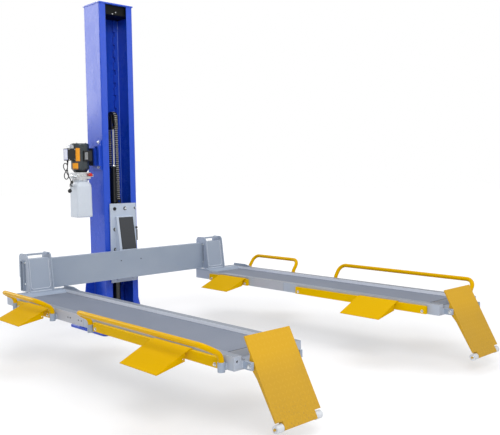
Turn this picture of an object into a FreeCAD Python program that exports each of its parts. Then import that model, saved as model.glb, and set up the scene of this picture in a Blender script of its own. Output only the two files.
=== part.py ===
"""Single post lift for small utility vehicles, with two runways, side bars, guard rails and drop ramps.

Units are millimetres. The origin is on the floor under the middle of the post. +Z is up, -Y points
along the runways towards the drive on end, +X points to the far runway. The lift is drawn a little
raised, as it stands when the end ramps hang free of the floor.
"""
import FreeCAD
import Part
import math
import os

V = FreeCAD.Vector

# Post and its foot
POST_W = 345.0
POST_D = 268.0
POST_TOP = 2924.0
POST_WALL = 8.0
POST_LIP = 62.0
CAP_T = 12.0
BLOCK_Z = 2840.0
RACK_START = 330.0
RACK_PITCH = 118.0
BASE_T = 20.0
BASE_HALF_W = 380.0
BASE_REAR = 185.0
BASE_FRONT = -420.0
ANCHOR_R = 11.0
ANCHOR_X = 320.0
ANCHOR_Y_REAR = 145.0
ANCHOR_Y_MID = -115.0
ANCHOR_Y_FRONT = -375.0

# Lifting cylinder
BARREL_R = 35.0
BARREL_TOP = 1452.0
GLAND_TOP = 1471.0
ROD_R = 16.0
CYL_Y = -30.0
HEAD_Z0 = 1812.0
SHEAVE_Z = 1915.0
SHEAVE_R = 60.0
SHEAVE_CORE = 47.5
CHAIN_W = 28.0
CHAIN_T = 14.0
CHAIN_PITCH = 19.05
CHAIN_LANES = 3
CHAIN_LINE = 55.0
CHAIN_END_Z = 1160.0
CHAIN_END_Y = -107.0

# Carriage
CARR_X0 = -125.0
CARR_X1 = 150.0
FRAME_X = 100.0
RUNNING_GAP = 0.3
CARR_T = 12.0
CARR_FRONT = -152.0
CARR_Z0 = 408.0
CARR_Z1 = 1132.0
WEDGE_X0 = -77.0
WEDGE_X1 = 98.0
WEDGE_TOP = 1012.0
WEDGE_LOW = 655.0
WEDGE_OUT_TOP = -178.0
WEDGE_OUT_LOW = -238.0

# Cross beam and the hooked brackets on it
BEAM_HALF = 1043.0
BEAM_FRONT = -304.0
BEAM_REAR = -249.0
BEAM_Z0 = 465.0
BEAM_Z1 = 713.0
BEAM_HOLE_R = 4.0
BEAM_HOLES = (-119.0, 92.0)
BEAM_HOLE_Z = 627.0
BRACKET_X = 924.0
BRACKET_W = 212.0
BRACKET_TOP = 768.0
BRACKET_FRONT = -391.0
BRACKET_REAR = -208.0
BRACKET_ROUND = 38.0
HOOK_END = 560.0
ADJUST_SLOT = 14.0
CHEEK_T = 10.0

# Runways
RUN_IN = 701.0
RUN_OUT = 1200.0
RUN_MID = 0.5 * (RUN_IN + RUN_OUT)
RUN_REAR = -345.0
RUN_FRONT = -3032.0
RUN_Z0 = 388.0
RUN_Z1 = 463.0
DECK_Z = 441.0
DECK_T = 4.0
RAIL_W = 50.0
RAIL_WALL = 4.0
END_T = 10.0
RAIL_HOLE_R = 4.5
RAIL_HOLES = (-1316.0, -1348.0, -1458.0, -1497.0)
RAIL_HOLE_Z = 424.0
NOSE_HOLE_R = 7.0
NOSE_HOLE = (1178.0, 435.0)
SHELF_FRONT = -440.0
SHELF_TOE = -476.0
EAR_FRONT = -600.0
EAR_TOP = 482.0
POCKET_HALF = 174.0
POCKET_REAR = RUN_FRONT + 172.0
POCKET_SILL = 80.0

# Side bars, their ramps, the rail sockets and guard rails
BAR_T = 22.0
BAR_GAP = 3.0
BAR_Z0 = 390.0
BAR_Z1 = 446.0
REAR_BAR = (-1100.0, -575.0)
FRONT_BAR = (RUN_FRONT + 92.0, RUN_FRONT + 1342.0)
REAR_RAMP = (-1075.0, -725.0)
FRONT_RAMP = (RUN_FRONT + 330.0, RUN_FRONT + 682.0)
SIDE_RAMP_OUT = 222.0
SIDE_WEB_IN = 36.0
SIDE_WEB_HOLE = (47.0, 16.0)
REAR_FOOT_Z = 360.0
FRONT_FOOT_Z = 350.0
SOCKET_Y = (-548.0, -1143.0, RUN_FRONT + 1372.0, RUN_FRONT + 70.0)
SOCKET_TOP = RUN_Z0 + 42.0
NECK_Z = RUN_Z0 + 78.0
SOCKET_R = 20.0
SOCKET_X = 1226.0
TUBE_R = 16.0
GUARD_NEAR = (1328.0, 527.0)
GUARD_FAR = (1298.0, 564.0)
GUARD_BEND = 62.0

# End ramps
HINGE_Y = RUN_FRONT - 48.0
HINGE_Z = 412.5
RAMP_HALF = 167.0
RAMP_UP = 154.0
RAMP_DOWN = 354.0
ROLLER_NOTCH = 46.0
RAMP_LIP = 9.0
RAMP_DROP = 61.1
RAMP_T = 5.0
ROLLER_R = 22.0
ROLLER_L = 45.0
EAR_T = 16.0
AXLE_R = 7.0
AXLE_IN = 19.0
PIN_R = 8.0

# Power unit on the left side of the post
UNIT_X = -332.0
UNIT_Y = -5.0
MOTOR_R = 80.0
MOTOR_Z0 = 1420.0
MOTOR_Z1 = 1678.0
TANK_HALF = 76.5
TANK_Z0 = 1018.0
TANK_Z1 = 1332.0
TANK_SHOULDER = 34.0
TANK_NECK_R = 60.0
CORD_R = 4.0
PLUG_TOP = 1332.0


def block(x0, x1, y0, y1, z0, z1):
    return Part.makeBox(x1 - x0, y1 - y0, z1 - z0, V(x0, y0, z0))


def rod(start, end, radius):
    a = V(*start)
    b = V(*end)
    return Part.makeCylinder(radius, (b - a).Length, a, b - a)


def prism_x(points, x0, x1):
    """Extrude a (y, z) outline from x0 to x1."""
    wire = Part.makePolygon([V(x0, y, z) for y, z in points + points[:1]])
    return Part.Face(wire).extrude(V(x1 - x0, 0, 0))


def prism_y(points, y0, y1):
    """Extrude an (x, z) outline from y0 to y1."""
    wire = Part.makePolygon([V(x, y0, z) for x, z in points + points[:1]])
    return Part.Face(wire).extrude(V(0, y1 - y0, 0))


def rounded_wire(spots, radii):
    """Closed outline through the corner points, each corner rounded to its own radius."""
    edges = []
    last = None
    first = None
    for i, radius in enumerate(radii):
        into = (spots[i - 1] - spots[i]).normalize()
        away = (spots[(i + 1) % len(spots)] - spots[i]).normalize()
        a = b = spots[i]
        if radius:
            half = 0.5 * into.getAngle(away)
            a = spots[i] + into * (radius / math.tan(half))
            b = spots[i] + away * (radius / math.tan(half))
        if last is not None:
            edges.append(Part.makeLine(last, a))
        if radius:
            bisector = (into + away).normalize()
            middle = spots[i] + bisector * (radius / math.sin(half) - radius)
            edges.append(Part.Arc(a, middle, b).toShape())
        first = first or a
        last = b
    edges.append(Part.makeLine(last, first))
    return Part.Wire(edges)


def rounded_x(corners, x0, x1):
    """Extrude a (y, z) outline from x0 to x1. Each corner is (y, z, radius of its rounding)."""
    outline = rounded_wire([V(x0, y, z) for y, z, radius in corners], [radius for y, z, radius in corners])
    return Part.Face(outline).extrude(V(x1 - x0, 0, 0))


def fuse(shapes):
    out = shapes[0]
    for other in shapes[1:]:
        out = out.fuse(other)
    return out.removeSplitter()


def mirror(shape):
    return shape.mirror(V(0, 0, 0), V(1, 0, 0))


def upright_edges(shape, test):
    picked = []
    for edge in shape.Edges:
        if len(edge.Vertexes) != 2:
            continue
        a = edge.Vertexes[0].Point
        b = edge.Vertexes[1].Point
        if abs(a.x - b.x) < 1e-6 and abs(a.y - b.y) < 1e-6 and test(a):
            picked.append(edge)
    return picked


def save(name, shape):
    os.makedirs("parts", exist_ok=True)
    shape.exportStep("parts/" + name + ".step")


# Foot and post


def base_plate():
    plate = block(-BASE_HALF_W, BASE_HALF_W, BASE_FRONT, BASE_REAR, 0, BASE_T)
    plate = plate.makeFillet(28.0, upright_edges(plate, lambda p: True))
    for x in (-ANCHOR_X, ANCHOR_X):
        for y in (ANCHOR_Y_FRONT, ANCHOR_Y_MID, ANCHOR_Y_REAR):
            plate = plate.cut(rod((x, y, -1), (x, y, BASE_T + 1), ANCHOR_R))
    return plate


def column():
    hw = POST_W / 2
    hd = POST_D / 2
    outer = block(-hw, hw, -hd, hd, BASE_T, POST_TOP)
    inner = block(-hw + POST_WALL, hw - POST_WALL, -hd + POST_WALL, hd - POST_WALL, BASE_T - 1, POST_TOP + 1)
    mouth = block(-hw + POST_LIP, hw - POST_LIP, -hd - 1, -hd + POST_WALL + 1, BASE_T - 1, POST_TOP + 1)
    outer = outer.makeFillet(10.0, upright_edges(outer, lambda p: True))
    inner = inner.makeFillet(4.0, upright_edges(inner, lambda p: True))
    return outer.cut(inner).cut(mouth)


def column_cap():
    hw = POST_W / 2 + 5
    hd = POST_D / 2 + 5
    return block(-hw, hw, -hd, hd, POST_TOP, POST_TOP + CAP_T)


def foot_gussets():
    hw = POST_W / 2
    outline = [(-hw, BASE_T), (-hw - 168, BASE_T), (-hw - 168, 60), (-hw - 112, 320)]
    outline += [(-hw - 96, 460), (-hw, 640)]
    parts = []
    for y in (-70.0, 70.0):
        left = prism_y(outline, y, y + 10)
        parts.append(left)
        parts.append(mirror(left))
    for x in (-90.0, 80.0):
        parts.append(prism_x([(POST_D / 2, BASE_T), (POST_D / 2 + 40, BASE_T), (POST_D / 2, 260)], x, x + 10))
    return Part.makeCompound(parts)


def latch_rack():
    x0 = POST_W / 2 - POST_WALL - 48
    y1 = POST_D / 2 - POST_WALL
    bar = block(x0, x0 + 42, y1 - 26, y1, BASE_T, BLOCK_Z)
    z = RACK_START
    while z < BLOCK_Z - RACK_PITCH:
        bar = bar.cut(block(x0 - 1, x0 + 16, y1 - 27, y1 + 1, z, z + 46))
        z += RACK_PITCH
    return bar


def top_block():
    hw = POST_W / 2 - POST_WALL
    return block(-hw, hw, -POST_D / 2 + 26, POST_D / 2 - POST_WALL - 30, BLOCK_Z, POST_TOP)


# Lifting cylinder and chain


def cylinder_barrel():
    tube = rod((0, CYL_Y, BASE_T), (0, CYL_Y, BARREL_TOP), BARREL_R)
    gland = rod((0, CYL_Y, BARREL_TOP), (0, CYL_Y, GLAND_TOP), BARREL_R + 5)
    bore = rod((0, CYL_Y, 60), (0, CYL_Y, BARREL_TOP - 20), ROD_R + 12)
    throat = rod((0, CYL_Y, BARREL_TOP - 30), (0, CYL_Y, GLAND_TOP + 1), ROD_R + 0.08)
    return fuse([tube, gland]).cut(bore).cut(throat)


def piston_rod():
    return rod((0, CYL_Y, 500), (0, CYL_Y, HEAD_Z0), ROD_R)


def sheave_head():
    hy = 38.0
    bottom = block(-34, 34, CYL_Y - hy, CYL_Y + hy, HEAD_Z0, HEAD_Z0 + 30)
    parts = [bottom]
    for x in (-34.0, 26.0):
        cheek = block(x, x + 8, CYL_Y - hy, CYL_Y + hy, HEAD_Z0 + 30, SHEAVE_Z)
        parts.append(cheek)
        parts.append(rod((x, CYL_Y, SHEAVE_Z), (x + 8, CYL_Y, SHEAVE_Z), hy))
    parts.append(rod((-40, CYL_Y, SHEAVE_Z), (40, CYL_Y, SHEAVE_Z), 14))
    return fuse(parts)


def sheave():
    wheel = rod((-21, CYL_Y, SHEAVE_Z), (21, CYL_Y, SHEAVE_Z), SHEAVE_R)
    half = CHAIN_W / 2 + 1
    groove = rod((-half, CYL_Y, SHEAVE_Z), (half, CYL_Y, SHEAVE_Z), SHEAVE_R + 1)
    groove = groove.cut(rod((-half - 1, CYL_Y, SHEAVE_Z), (half + 1, CYL_Y, SHEAVE_Z), SHEAVE_CORE))
    bore = rod((-22, CYL_Y, SHEAVE_Z), (22, CYL_Y, SHEAVE_Z), 14)
    return wheel.cut(groove).cut(bore)


def chain_line():
    """Pin centres of the leaf chain: up the front run, over the sheave and down the rear run."""
    foot = V(0, CHAIN_END_Y + CHAIN_T / 2, CHAIN_END_Z + CHAIN_T / 2)
    on = V(0, CYL_Y - CHAIN_LINE, SHEAVE_Z)
    rise = (on - foot).Length
    arch = math.pi * CHAIN_LINE
    count = round((2 * rise + arch) / CHAIN_PITCH)
    pins = []
    for i in range(count + 1):
        run = i * (2 * rise + arch) / count
        if run < rise:
            pins.append(foot + (on - foot) * (run / rise))
        elif run < rise + arch:
            turn = (run - rise) / CHAIN_LINE
            pins.append(V(0, CYL_Y - CHAIN_LINE * math.cos(turn), SHEAVE_Z + CHAIN_LINE * math.sin(turn)))
        else:
            pins.append(V(0, CYL_Y + CHAIN_LINE, SHEAVE_Z - (run - rise - arch)))
    return pins


def link_plate(a, b, x0, x1):
    """One waisted plate round the pins at a and b."""
    along = (b - a).normalize()
    across = V(0, -along.z, along.y)
    middle = (a + b) * 0.5
    eye = 0.5 * (b - a).Length
    half = CHAIN_T / 2
    side = [(-eye - 6.5, 3), (-eye - 3, half), (-eye + 3, half), (0, half - 1.5)]
    side += [(-u, v) for u, v in reversed(side[:3])]
    outline = side + [(u, -v) for u, v in reversed(side)]
    spots = [middle + along * u + across * v for u, v in outline]
    return prism_x([(p.y, p.z) for p in spots], x0, x1)


def lift_chain():
    """Leaf chain: two outer plates and one middle plate in turn, side by side between the pins."""
    pins = chain_line()
    lane = CHAIN_W / CHAIN_LANES
    plates = []
    for i in range(len(pins) - 1):
        for k in range(i % 2, CHAIN_LANES, 2):
            x0 = -CHAIN_W / 2 + k * lane
            plates.append(link_plate(pins[i], pins[i + 1], x0, x0 + lane))
    return plates[0].multiFuse(plates[1:]).removeSplitter()


# Power unit


def unit_bracket():
    x0 = -POST_W / 2
    plate = block(x0 - 8, x0, UNIT_Y - 105, UNIT_Y + 55, 1440, 1705)
    channel = block(x0 - 26, x0 - 8, UNIT_Y - 99, UNIT_Y + 3, 1475, 1661)
    recess = block(x0 - 27, x0 - 10, UNIT_Y - 74, UNIT_Y - 24, 1485, 1651)
    return fuse([plate, channel.cut(recess)])


def unit_spacer():
    x0 = -POST_W / 2 - 8
    box = block(UNIT_X + MOTOR_R - 14, x0, UNIT_Y + 3, UNIT_Y + 55, 1480, MOTOR_Z1 - 40)
    return box.cut(rod((UNIT_X, UNIT_Y, 1400), (UNIT_X, UNIT_Y, 1700), MOTOR_R))


def motor_body():
    body = rod((UNIT_X, UNIT_Y, MOTOR_Z0 + 34), (UNIT_X, UNIT_Y, MOTOR_Z1 - 34), MOTOR_R)
    bowl = Part.makeCone(MOTOR_R - 26, MOTOR_R, 34, V(UNIT_X, UNIT_Y, MOTOR_Z0), V(0, 0, 1))
    return fuse([body, bowl])


def motor_cover():
    cover = rod((UNIT_X, UNIT_Y, MOTOR_Z1 - 34), (UNIT_X, UNIT_Y, MOTOR_Z1), MOTOR_R + 2)
    edges = [e for e in cover.Edges if abs(e.CenterOfMass.z - MOTOR_Z1) < 0.01]
    return cover.makeFillet(14.0, edges)


def control_box():
    box = block(-472, -390, UNIT_Y - 41, UNIT_Y + 42, 1526, 1633)
    box = box.makeFillet(5.0, [e for e in box.Edges if e.CenterOfMass.x < -400])
    return box.cut(rod((UNIT_X, UNIT_Y, 1500), (UNIT_X, UNIT_Y, 1660), MOTOR_R))


def terminal_box():
    box = block(UNIT_X + 10, UNIT_X + 66, UNIT_Y - 98, UNIT_Y - 40, 1518, 1612)
    box = box.makeFillet(4.0, [e for e in box.Edges if e.CenterOfMass.y < UNIT_Y - 60])
    return box.cut(rod((UNIT_X, UNIT_Y, 1500), (UNIT_X, UNIT_Y, 1660), MOTOR_R))


def pump_block():
    body = block(UNIT_X - 74, UNIT_X + 66, UNIT_Y - 62, UNIT_Y + 62, TANK_Z1 + 30, MOTOR_Z0)
    port = block(UNIT_X + 66, UNIT_X + 96, UNIT_Y - 58, UNIT_Y - 26, 1380, 1404)
    return fuse([body, port])


def tank_ring(half, radius, z):
    corners = [(-half, -half), (half, -half), (half, half), (-half, half)]
    return rounded_wire([V(UNIT_X + x, UNIT_Y + y, z) for x, y in corners], [radius] * 4)


def oil_tank():
    """Moulded tank: drafted sides, rounded foot, sloping shoulder and a round neck under the pump."""
    rings = [
        tank_ring(TANK_HALF - 9, 16, TANK_Z0),
        tank_ring(TANK_HALF - 2, 20, TANK_Z0 + 4),
        tank_ring(TANK_HALF, 22, TANK_Z0 + 12),
        tank_ring(TANK_HALF - 2.5, 22, TANK_Z1 - TANK_SHOULDER),
        tank_ring(TANK_HALF - 5.5, 24, TANK_Z1 - TANK_SHOULDER + 12),
        tank_ring(TANK_HALF - 14, 30, TANK_Z1),
    ]
    body = Part.makeLoft(rings, True, True)
    neck = rod((UNIT_X, UNIT_Y, TANK_Z1 - 4), (UNIT_X, UNIT_Y, TANK_Z1 + 30), TANK_NECK_R)
    collar = rod((UNIT_X, UNIT_Y, TANK_Z1 + 8), (UNIT_X, UNIT_Y, TANK_Z1 + 20), TANK_NECK_R + 4)
    return fuse([body, neck, collar])


def lowering_lever():
    x = UNIT_X - 74
    y = UNIT_Y - 30
    arm = rod((x, y, 1384), (x - 12, y, 1384), 5)
    drop = rod((x - 12, y, 1384), (x - 48, y, 1272), 4.5)
    ball = Part.makeSphere(13, V(x - 50, y, 1260))
    elbow = Part.makeSphere(6, V(x - 12, y, 1384))
    return fuse([arm, drop, ball, elbow])


def valve_knob():
    y = UNIT_Y - 62
    stem = rod((-282, y, 1398), (-282, y - 18, 1398), 8)
    knob = rod((-282, y - 12, 1398), (-282, y - 36, 1398), 15)
    return fuse([stem, knob])


def cord_line(points):
    """Straight runs joined by tangent arcs, each arc as large as its two runs allow."""
    pts = [V(*p) for p in points]
    edges = []
    radii = []
    start = pts[0]
    for i in range(1, len(pts) - 1):
        into = pts[i - 1] - pts[i]
        away = pts[i + 1] - pts[i]
        reach = 0.45 * min(into.Length, away.Length)
        into.normalize()
        away.normalize()
        half = 0.5 * into.getAngle(away)
        radius = reach * math.tan(half)
        middle = pts[i] + (into + away).normalize() * (radius / math.sin(half) - radius)
        edges.append(Part.makeLine(start, pts[i] + into * reach))
        edges.append(Part.Arc(pts[i] + into * reach, middle, pts[i] + away * reach).toShape())
        start = pts[i] + away * reach
        radii.append(round(radius))
    edges.append(Part.makeLine(start, pts[-1]))
    print("cord radii", radii)
    return Part.Wire(edges)


def power_cord():
    """Cord tied up in two loops below the control box, down to its plug."""
    y = UNIT_Y
    path = [(-455, y, 1526), (-455, y, 1508), (-457, y, 1482), (-462, y, 1437), (-448, y + 3, 1402)]
    path += [(-450, y + 4, 1378)]
    path += [(-461, y + 6, 1362), (-475, y + 8, 1361), (-486, y + 9, 1375), (-488, y + 10, 1402)]
    path += [(-466, y + 11, 1436), (-450, y + 12, 1464), (-451, y + 13, 1486), (-462, y + 15, 1501)]
    path += [(-476, y + 17, 1502), (-487, y + 19, 1489), (-487, y + 20, 1462), (-464, y + 21, 1432)]
    path += [(-446, y + 19, 1399), (-433, y + 13, 1368), (-424, y + 9, PLUG_TOP + 18), (-424, y + 9, PLUG_TOP)]
    spine = cord_line(path)
    ring = Part.Wire([Part.makeCircle(CORD_R, V(*path[0]), V(*path[1]) - V(*path[0]))])
    cord = spine.makePipeShell([ring], True, True)
    share = cord.Volume / (spine.Length * math.pi * CORD_R ** 2)
    print("cord length", round(spine.Length, 1), "volume over section times length", round(share, 4))
    return cord


def cord_plug():
    x = -424.0
    y = UNIT_Y + 9
    return rod((x, y, PLUG_TOP - 46), (x, y, PLUG_TOP), 13)


# Carriage


def carriage_plate():
    y1 = CARR_FRONT + CARR_T
    return block(CARR_X0, CARR_X1, CARR_FRONT, y1, CARR_Z0, CARR_Z1)


def carriage_frame():
    y0 = CARR_FRONT + CARR_T
    parts = []
    for x in (-FRAME_X, FRAME_X - 12):
        parts.append(block(x, x + 12, y0, POST_D / 2 - 42, CARR_Z0 + 20, CARR_Z1 - 20))
    for z in (CARR_Z0 + 20, CARR_Z1 - 50):
        parts.append(block(12 - FRAME_X, FRAME_X - 12, y0, y0 + 14, z, z + 30))
    return fuse(parts)


def slide_pads():
    lip_y = -POST_D / 2 + POST_WALL + RUNNING_GAP
    web_y = POST_D / 2 - POST_WALL - RUNNING_GAP
    parts = []
    for z in (CARR_Z0 + 40, CARR_Z1 - 160):
        lip_pad = block(FRAME_X, POST_W / 2 - POST_WALL - 14, lip_y, lip_y + 20, z, z + 120)
        web_pad = block(FRAME_X - 6, FRAME_X, POST_D / 2 - 42, web_y, z, z + 120)
        for pad in (lip_pad, web_pad):
            parts.append(pad)
            parts.append(mirror(pad))
    return Part.makeCompound(parts)


def carriage_wedge():
    back = CARR_FRONT
    low = [(WEDGE_OUT_LOW, WEDGE_LOW), (WEDGE_OUT_LOW, BEAM_Z0 + 15), (back, BEAM_Z0 - 35)]
    outline = [(back, WEDGE_TOP), (WEDGE_OUT_TOP, WEDGE_TOP)] + low
    left = prism_x(outline, WEDGE_X0, WEDGE_X0 + 12)
    right = prism_x(outline, WEDGE_X1 - 12, WEDGE_X1)
    face = [(WEDGE_OUT_TOP, WEDGE_TOP), (WEDGE_OUT_LOW, WEDGE_LOW)]
    face += [(WEDGE_OUT_LOW + 8, WEDGE_LOW), (WEDGE_OUT_TOP + 8, WEDGE_TOP)]
    front = prism_x(face, WEDGE_X0, WEDGE_X1)
    roof = block(WEDGE_X0, WEDGE_X1, WEDGE_OUT_TOP, back, WEDGE_TOP - 8, WEDGE_TOP)
    bridge = block(WEDGE_X0, WEDGE_X1, BEAM_REAR, WEDGE_OUT_LOW + 8, BEAM_Z0 + 15, WEDGE_LOW)
    return fuse([left, right, front, roof, bridge])


def wedge_panel():
    slope = (WEDGE_OUT_LOW - WEDGE_OUT_TOP) / (WEDGE_TOP - WEDGE_LOW)
    z0 = BEAM_Z1 - 20
    y0 = WEDGE_OUT_TOP + slope * (WEDGE_TOP - z0)
    y1 = WEDGE_OUT_TOP + slope * 6
    face = [(y1, WEDGE_TOP - 6), (y1 - 3, WEDGE_TOP - 6), (y0 - 3, z0), (y0, z0)]
    return prism_x(face, WEDGE_X0 + 23, WEDGE_X1 - 2)


def lock_release():
    y1 = CARR_FRONT + 5
    plate = block(CARR_X1, CARR_X1 + 14, CARR_FRONT, y1, 782, 884)
    knob = Part.makeSphere(11, V(CARR_X1 - 6, CARR_FRONT - 14, 903))
    stem = rod((CARR_X1 - 6, CARR_FRONT, 903), (CARR_X1 - 6, CARR_FRONT - 12, 903), 5)
    return Part.makeCompound([plate, fuse([knob, stem])])


# Beam and brackets


def cross_beam():
    outer = block(-BEAM_HALF, BEAM_HALF, BEAM_FRONT, BEAM_REAR, BEAM_Z0, BEAM_Z1)
    inner = block(-BEAM_HALF - 1, BEAM_HALF + 1, BEAM_FRONT + 6, BEAM_REAR - 6, BEAM_Z0 + 6, BEAM_Z1 - 6)
    beam = outer.cut(inner)
    for x in BEAM_HOLES:
        beam = beam.cut(rod((x, BEAM_FRONT - 1, BEAM_HOLE_Z), (x, BEAM_FRONT + 7, BEAM_HOLE_Z), BEAM_HOLE_R))
    return beam


def bracket(side):
    """Two hooked cheeks over the beam, a leaning front plate, a seat on the beam and a top bar."""
    x0 = BRACKET_X - BRACKET_W / 2
    x1 = BRACKET_X + BRACKET_W / 2
    cheek = [
        (BRACKET_FRONT, RUN_Z1, 0),
        (BEAM_FRONT, RUN_Z1, 0),
        (BEAM_FRONT, BEAM_Z1, 0),
        (BEAM_REAR, BEAM_Z1, 0),
        (BEAM_REAR, HOOK_END, 0),
        (BRACKET_REAR, HOOK_END + 15, 8),
        (BRACKET_REAR, BRACKET_TOP, BRACKET_ROUND),
        (BRACKET_FRONT + 42, BRACKET_TOP, BRACKET_ROUND),
    ]
    slot = block(x0 - 1, x1 + 1, BEAM_FRONT - ADJUST_SLOT, BEAM_FRONT + 1, BEAM_Z0 + 70, BEAM_Z1 - 25)
    parts = []
    for x in (x0, x1 - CHEEK_T):
        parts.append(rounded_x(cheek, x, x + CHEEK_T).cut(slot))
    front = [(-372, RUN_Z1), (-364, RUN_Z1), (-330, BRACKET_TOP - 42), (-338, BRACKET_TOP - 42)]
    parts.append(prism_x(front, x0 + CHEEK_T, x1 - CHEEK_T))
    parts.append(block(x0 + CHEEK_T, x1 - CHEEK_T, BEAM_FRONT - 6, BEAM_REAR + 14, BEAM_Z1, BEAM_Z1 + 8))
    parts.append(block(x0 + CHEEK_T, x1 - CHEEK_T, -318, -298, BRACKET_TOP - 16, BRACKET_TOP))
    shape = fuse(parts)
    return shape if side > 0 else mirror(shape)


# Runways


def side_rail(x0):
    y1 = RUN_REAR - END_T
    rail = block(x0, x0 + RAIL_W, RUN_FRONT, y1, RUN_Z0, RUN_Z1)
    w = RAIL_WALL
    return rail.cut(block(x0 + w, x0 + RAIL_W - w, RUN_FRONT + 8, y1 + 1, RUN_Z0 + w, RUN_Z1 - w))


def runway_frame(side):
    a = RUN_IN + RAIL_W
    b = RUN_OUT - RAIL_W
    under = DECK_Z - DECK_T
    parts = [side_rail(RUN_IN), side_rail(RUN_OUT - RAIL_W)]
    bays = 7
    step = (POCKET_REAR - RUN_REAR) / bays
    for i in range(1, bays):
        y = RUN_REAR + i * step
        parts.append(block(a, b, y, y + 8, RUN_Z0 + 6, under))
    parts.append(block(a, RUN_MID - POCKET_HALF, RUN_FRONT, POCKET_REAR, RUN_Z0, under))
    parts.append(block(RUN_MID + POCKET_HALF, b, RUN_FRONT, POCKET_REAR, RUN_Z0, under))
    parts.append(block(a, b, POCKET_REAR, POCKET_REAR + 8, RUN_Z0, under))
    left = RUN_MID - POCKET_HALF
    right = RUN_MID + POCKET_HALF
    parts.append(block(left, right, POCKET_REAR - POCKET_SILL, POCKET_REAR, RUN_Z0, RUN_Z0 + 4))
    shape = fuse(parts)
    for y in RAIL_HOLES:
        inside = (RUN_OUT - RAIL_WALL - 1, y, RAIL_HOLE_Z)
        shape = shape.cut(rod(inside, (RUN_OUT + 1, y, RAIL_HOLE_Z), RAIL_HOLE_R))
    x, z = NOSE_HOLE
    shape = shape.cut(rod((x, RUN_FRONT - 1, z), (x, RUN_FRONT + 9, z), NOSE_HOLE_R))
    return shape if side > 0 else mirror(shape)


def rear_shelf(side):
    """End plate, the shelf that carries the hooked bracket, and the two small ears beside it."""
    a = RUN_IN + RAIL_W
    b = RUN_OUT - RAIL_W
    y1 = RUN_REAR - END_T
    parts = [block(RUN_IN, RUN_OUT, y1, RUN_REAR, RUN_Z0, RUN_Z1)]
    shelf = [(y1, RUN_Z1 - 8), (y1, RUN_Z1), (SHELF_FRONT, RUN_Z1), (SHELF_TOE, DECK_Z)]
    shelf += [(SHELF_TOE + 9, DECK_Z), (SHELF_FRONT + 3, RUN_Z1 - 8)]
    parts.append(prism_x(shelf, a, b))
    ear = [(RUN_REAR, RUN_Z1), (RUN_REAR, EAR_TOP), (EAR_FRONT + 95, EAR_TOP), (EAR_FRONT, RUN_Z1)]
    for x in (RUN_IN, RUN_OUT - 8):
        parts.append(prism_x(ear, x, x + 8))
    shape = fuse(parts)
    return shape if side > 0 else mirror(shape)


def deck(side):
    a = RUN_IN + RAIL_W
    b = RUN_OUT - RAIL_W
    plate = block(a, b, RUN_FRONT, RUN_REAR - END_T, DECK_Z - DECK_T, DECK_Z)
    left = RUN_MID - POCKET_HALF
    right = RUN_MID + POCKET_HALF
    notch = block(left, right, RUN_FRONT - 1, POCKET_REAR, DECK_Z - 5, DECK_Z + 1)
    plate = plate.cut(notch)
    return plate if side > 0 else mirror(plate)


def ramp_hinge(side):
    """Two ears on the runway's front end with the hinge pin fixed in them."""
    reach = POCKET_HALF + EAR_T
    pin = rod((RUN_MID - reach, HINGE_Y, HINGE_Z), (RUN_MID + reach, HINGE_Y, HINGE_Z), PIN_R)
    parts = [pin]
    for x in (RUN_MID - reach, RUN_MID + POCKET_HALF):
        parts.append(block(x, x + EAR_T, HINGE_Y - 18, RUN_FRONT, RUN_Z0 + 4, RUN_Z0 + 46))
    shape = fuse(parts)
    return shape if side > 0 else mirror(shape)


def side_bars(side):
    parts = []
    for y0, y1 in (REAR_BAR, FRONT_BAR):
        parts.append(block(RUN_OUT + BAR_GAP, RUN_OUT + BAR_GAP + BAR_T, y0, y1, BAR_Z0, BAR_Z1))
        parts.append(block(RUN_IN - BAR_GAP - BAR_T, RUN_IN - BAR_GAP, y0, y1, BAR_Z0, BAR_Z1))
        for y in (y0 + 60, 0.5 * (y0 + y1), y1 - 60):
            parts.append(block(RUN_OUT, RUN_OUT + BAR_GAP, y - 15, y + 15, BAR_Z0 + 12, BAR_Z1 - 12))
            parts.append(block(RUN_IN - BAR_GAP, RUN_IN, y - 15, y + 15, BAR_Z0 + 12, BAR_Z1 - 12))
    shape = Part.makeCompound(parts)
    return shape if side > 0 else mirror(shape)


def side_ramp(face_x, out, y0, y1, foot_z):
    """Ramp hooked on a side bar whose outer face is at face_x; out is the direction away from the runway."""
    top = BAR_Z1 + 7
    fx = face_x + out * SIDE_RAMP_OUT
    skin = [
        (face_x - out * 18, top),
        (face_x + out * 4, top),
        (fx, foot_z + 4),
        (fx, foot_z),
        (face_x + out * 4, top - 7),
        (face_x - out * 18, top - 7),
    ]
    parts = [prism_y(skin, y0, y1)]
    slope = (top - foot_z - 4) / (SIDE_RAMP_OUT - 4)
    web_top = top - 4 - slope * (SIDE_WEB_IN - 4)
    xi = face_x + out * SIDE_WEB_IN
    web = [(xi, web_top), (fx - out * 6, foot_z + 2), (xi, RUN_Z0 + 2)]
    for y in (y0, y1 - 6):
        parts.append(prism_y(web, y, y + 6))
    shape = fuse(parts)
    hx = face_x + out * SIDE_WEB_HOLE[0]
    hz = RUN_Z0 + SIDE_WEB_HOLE[1]
    return shape.cut(rod((hx, y0 - 1, hz), (hx, y1 + 1, hz), RAIL_HOLE_R))


def side_ramps(side):
    parts = []
    for (y0, y1), foot_z in ((REAR_RAMP, REAR_FOOT_Z), (FRONT_RAMP, FRONT_FOOT_Z)):
        parts.append(side_ramp(RUN_OUT + BAR_GAP + BAR_T, 1, y0, y1, foot_z))
        parts.append(side_ramp(RUN_IN - BAR_GAP - BAR_T, -1, y0, y1, foot_z))
    shape = Part.makeCompound(parts)
    return shape if side > 0 else mirror(shape)


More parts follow.
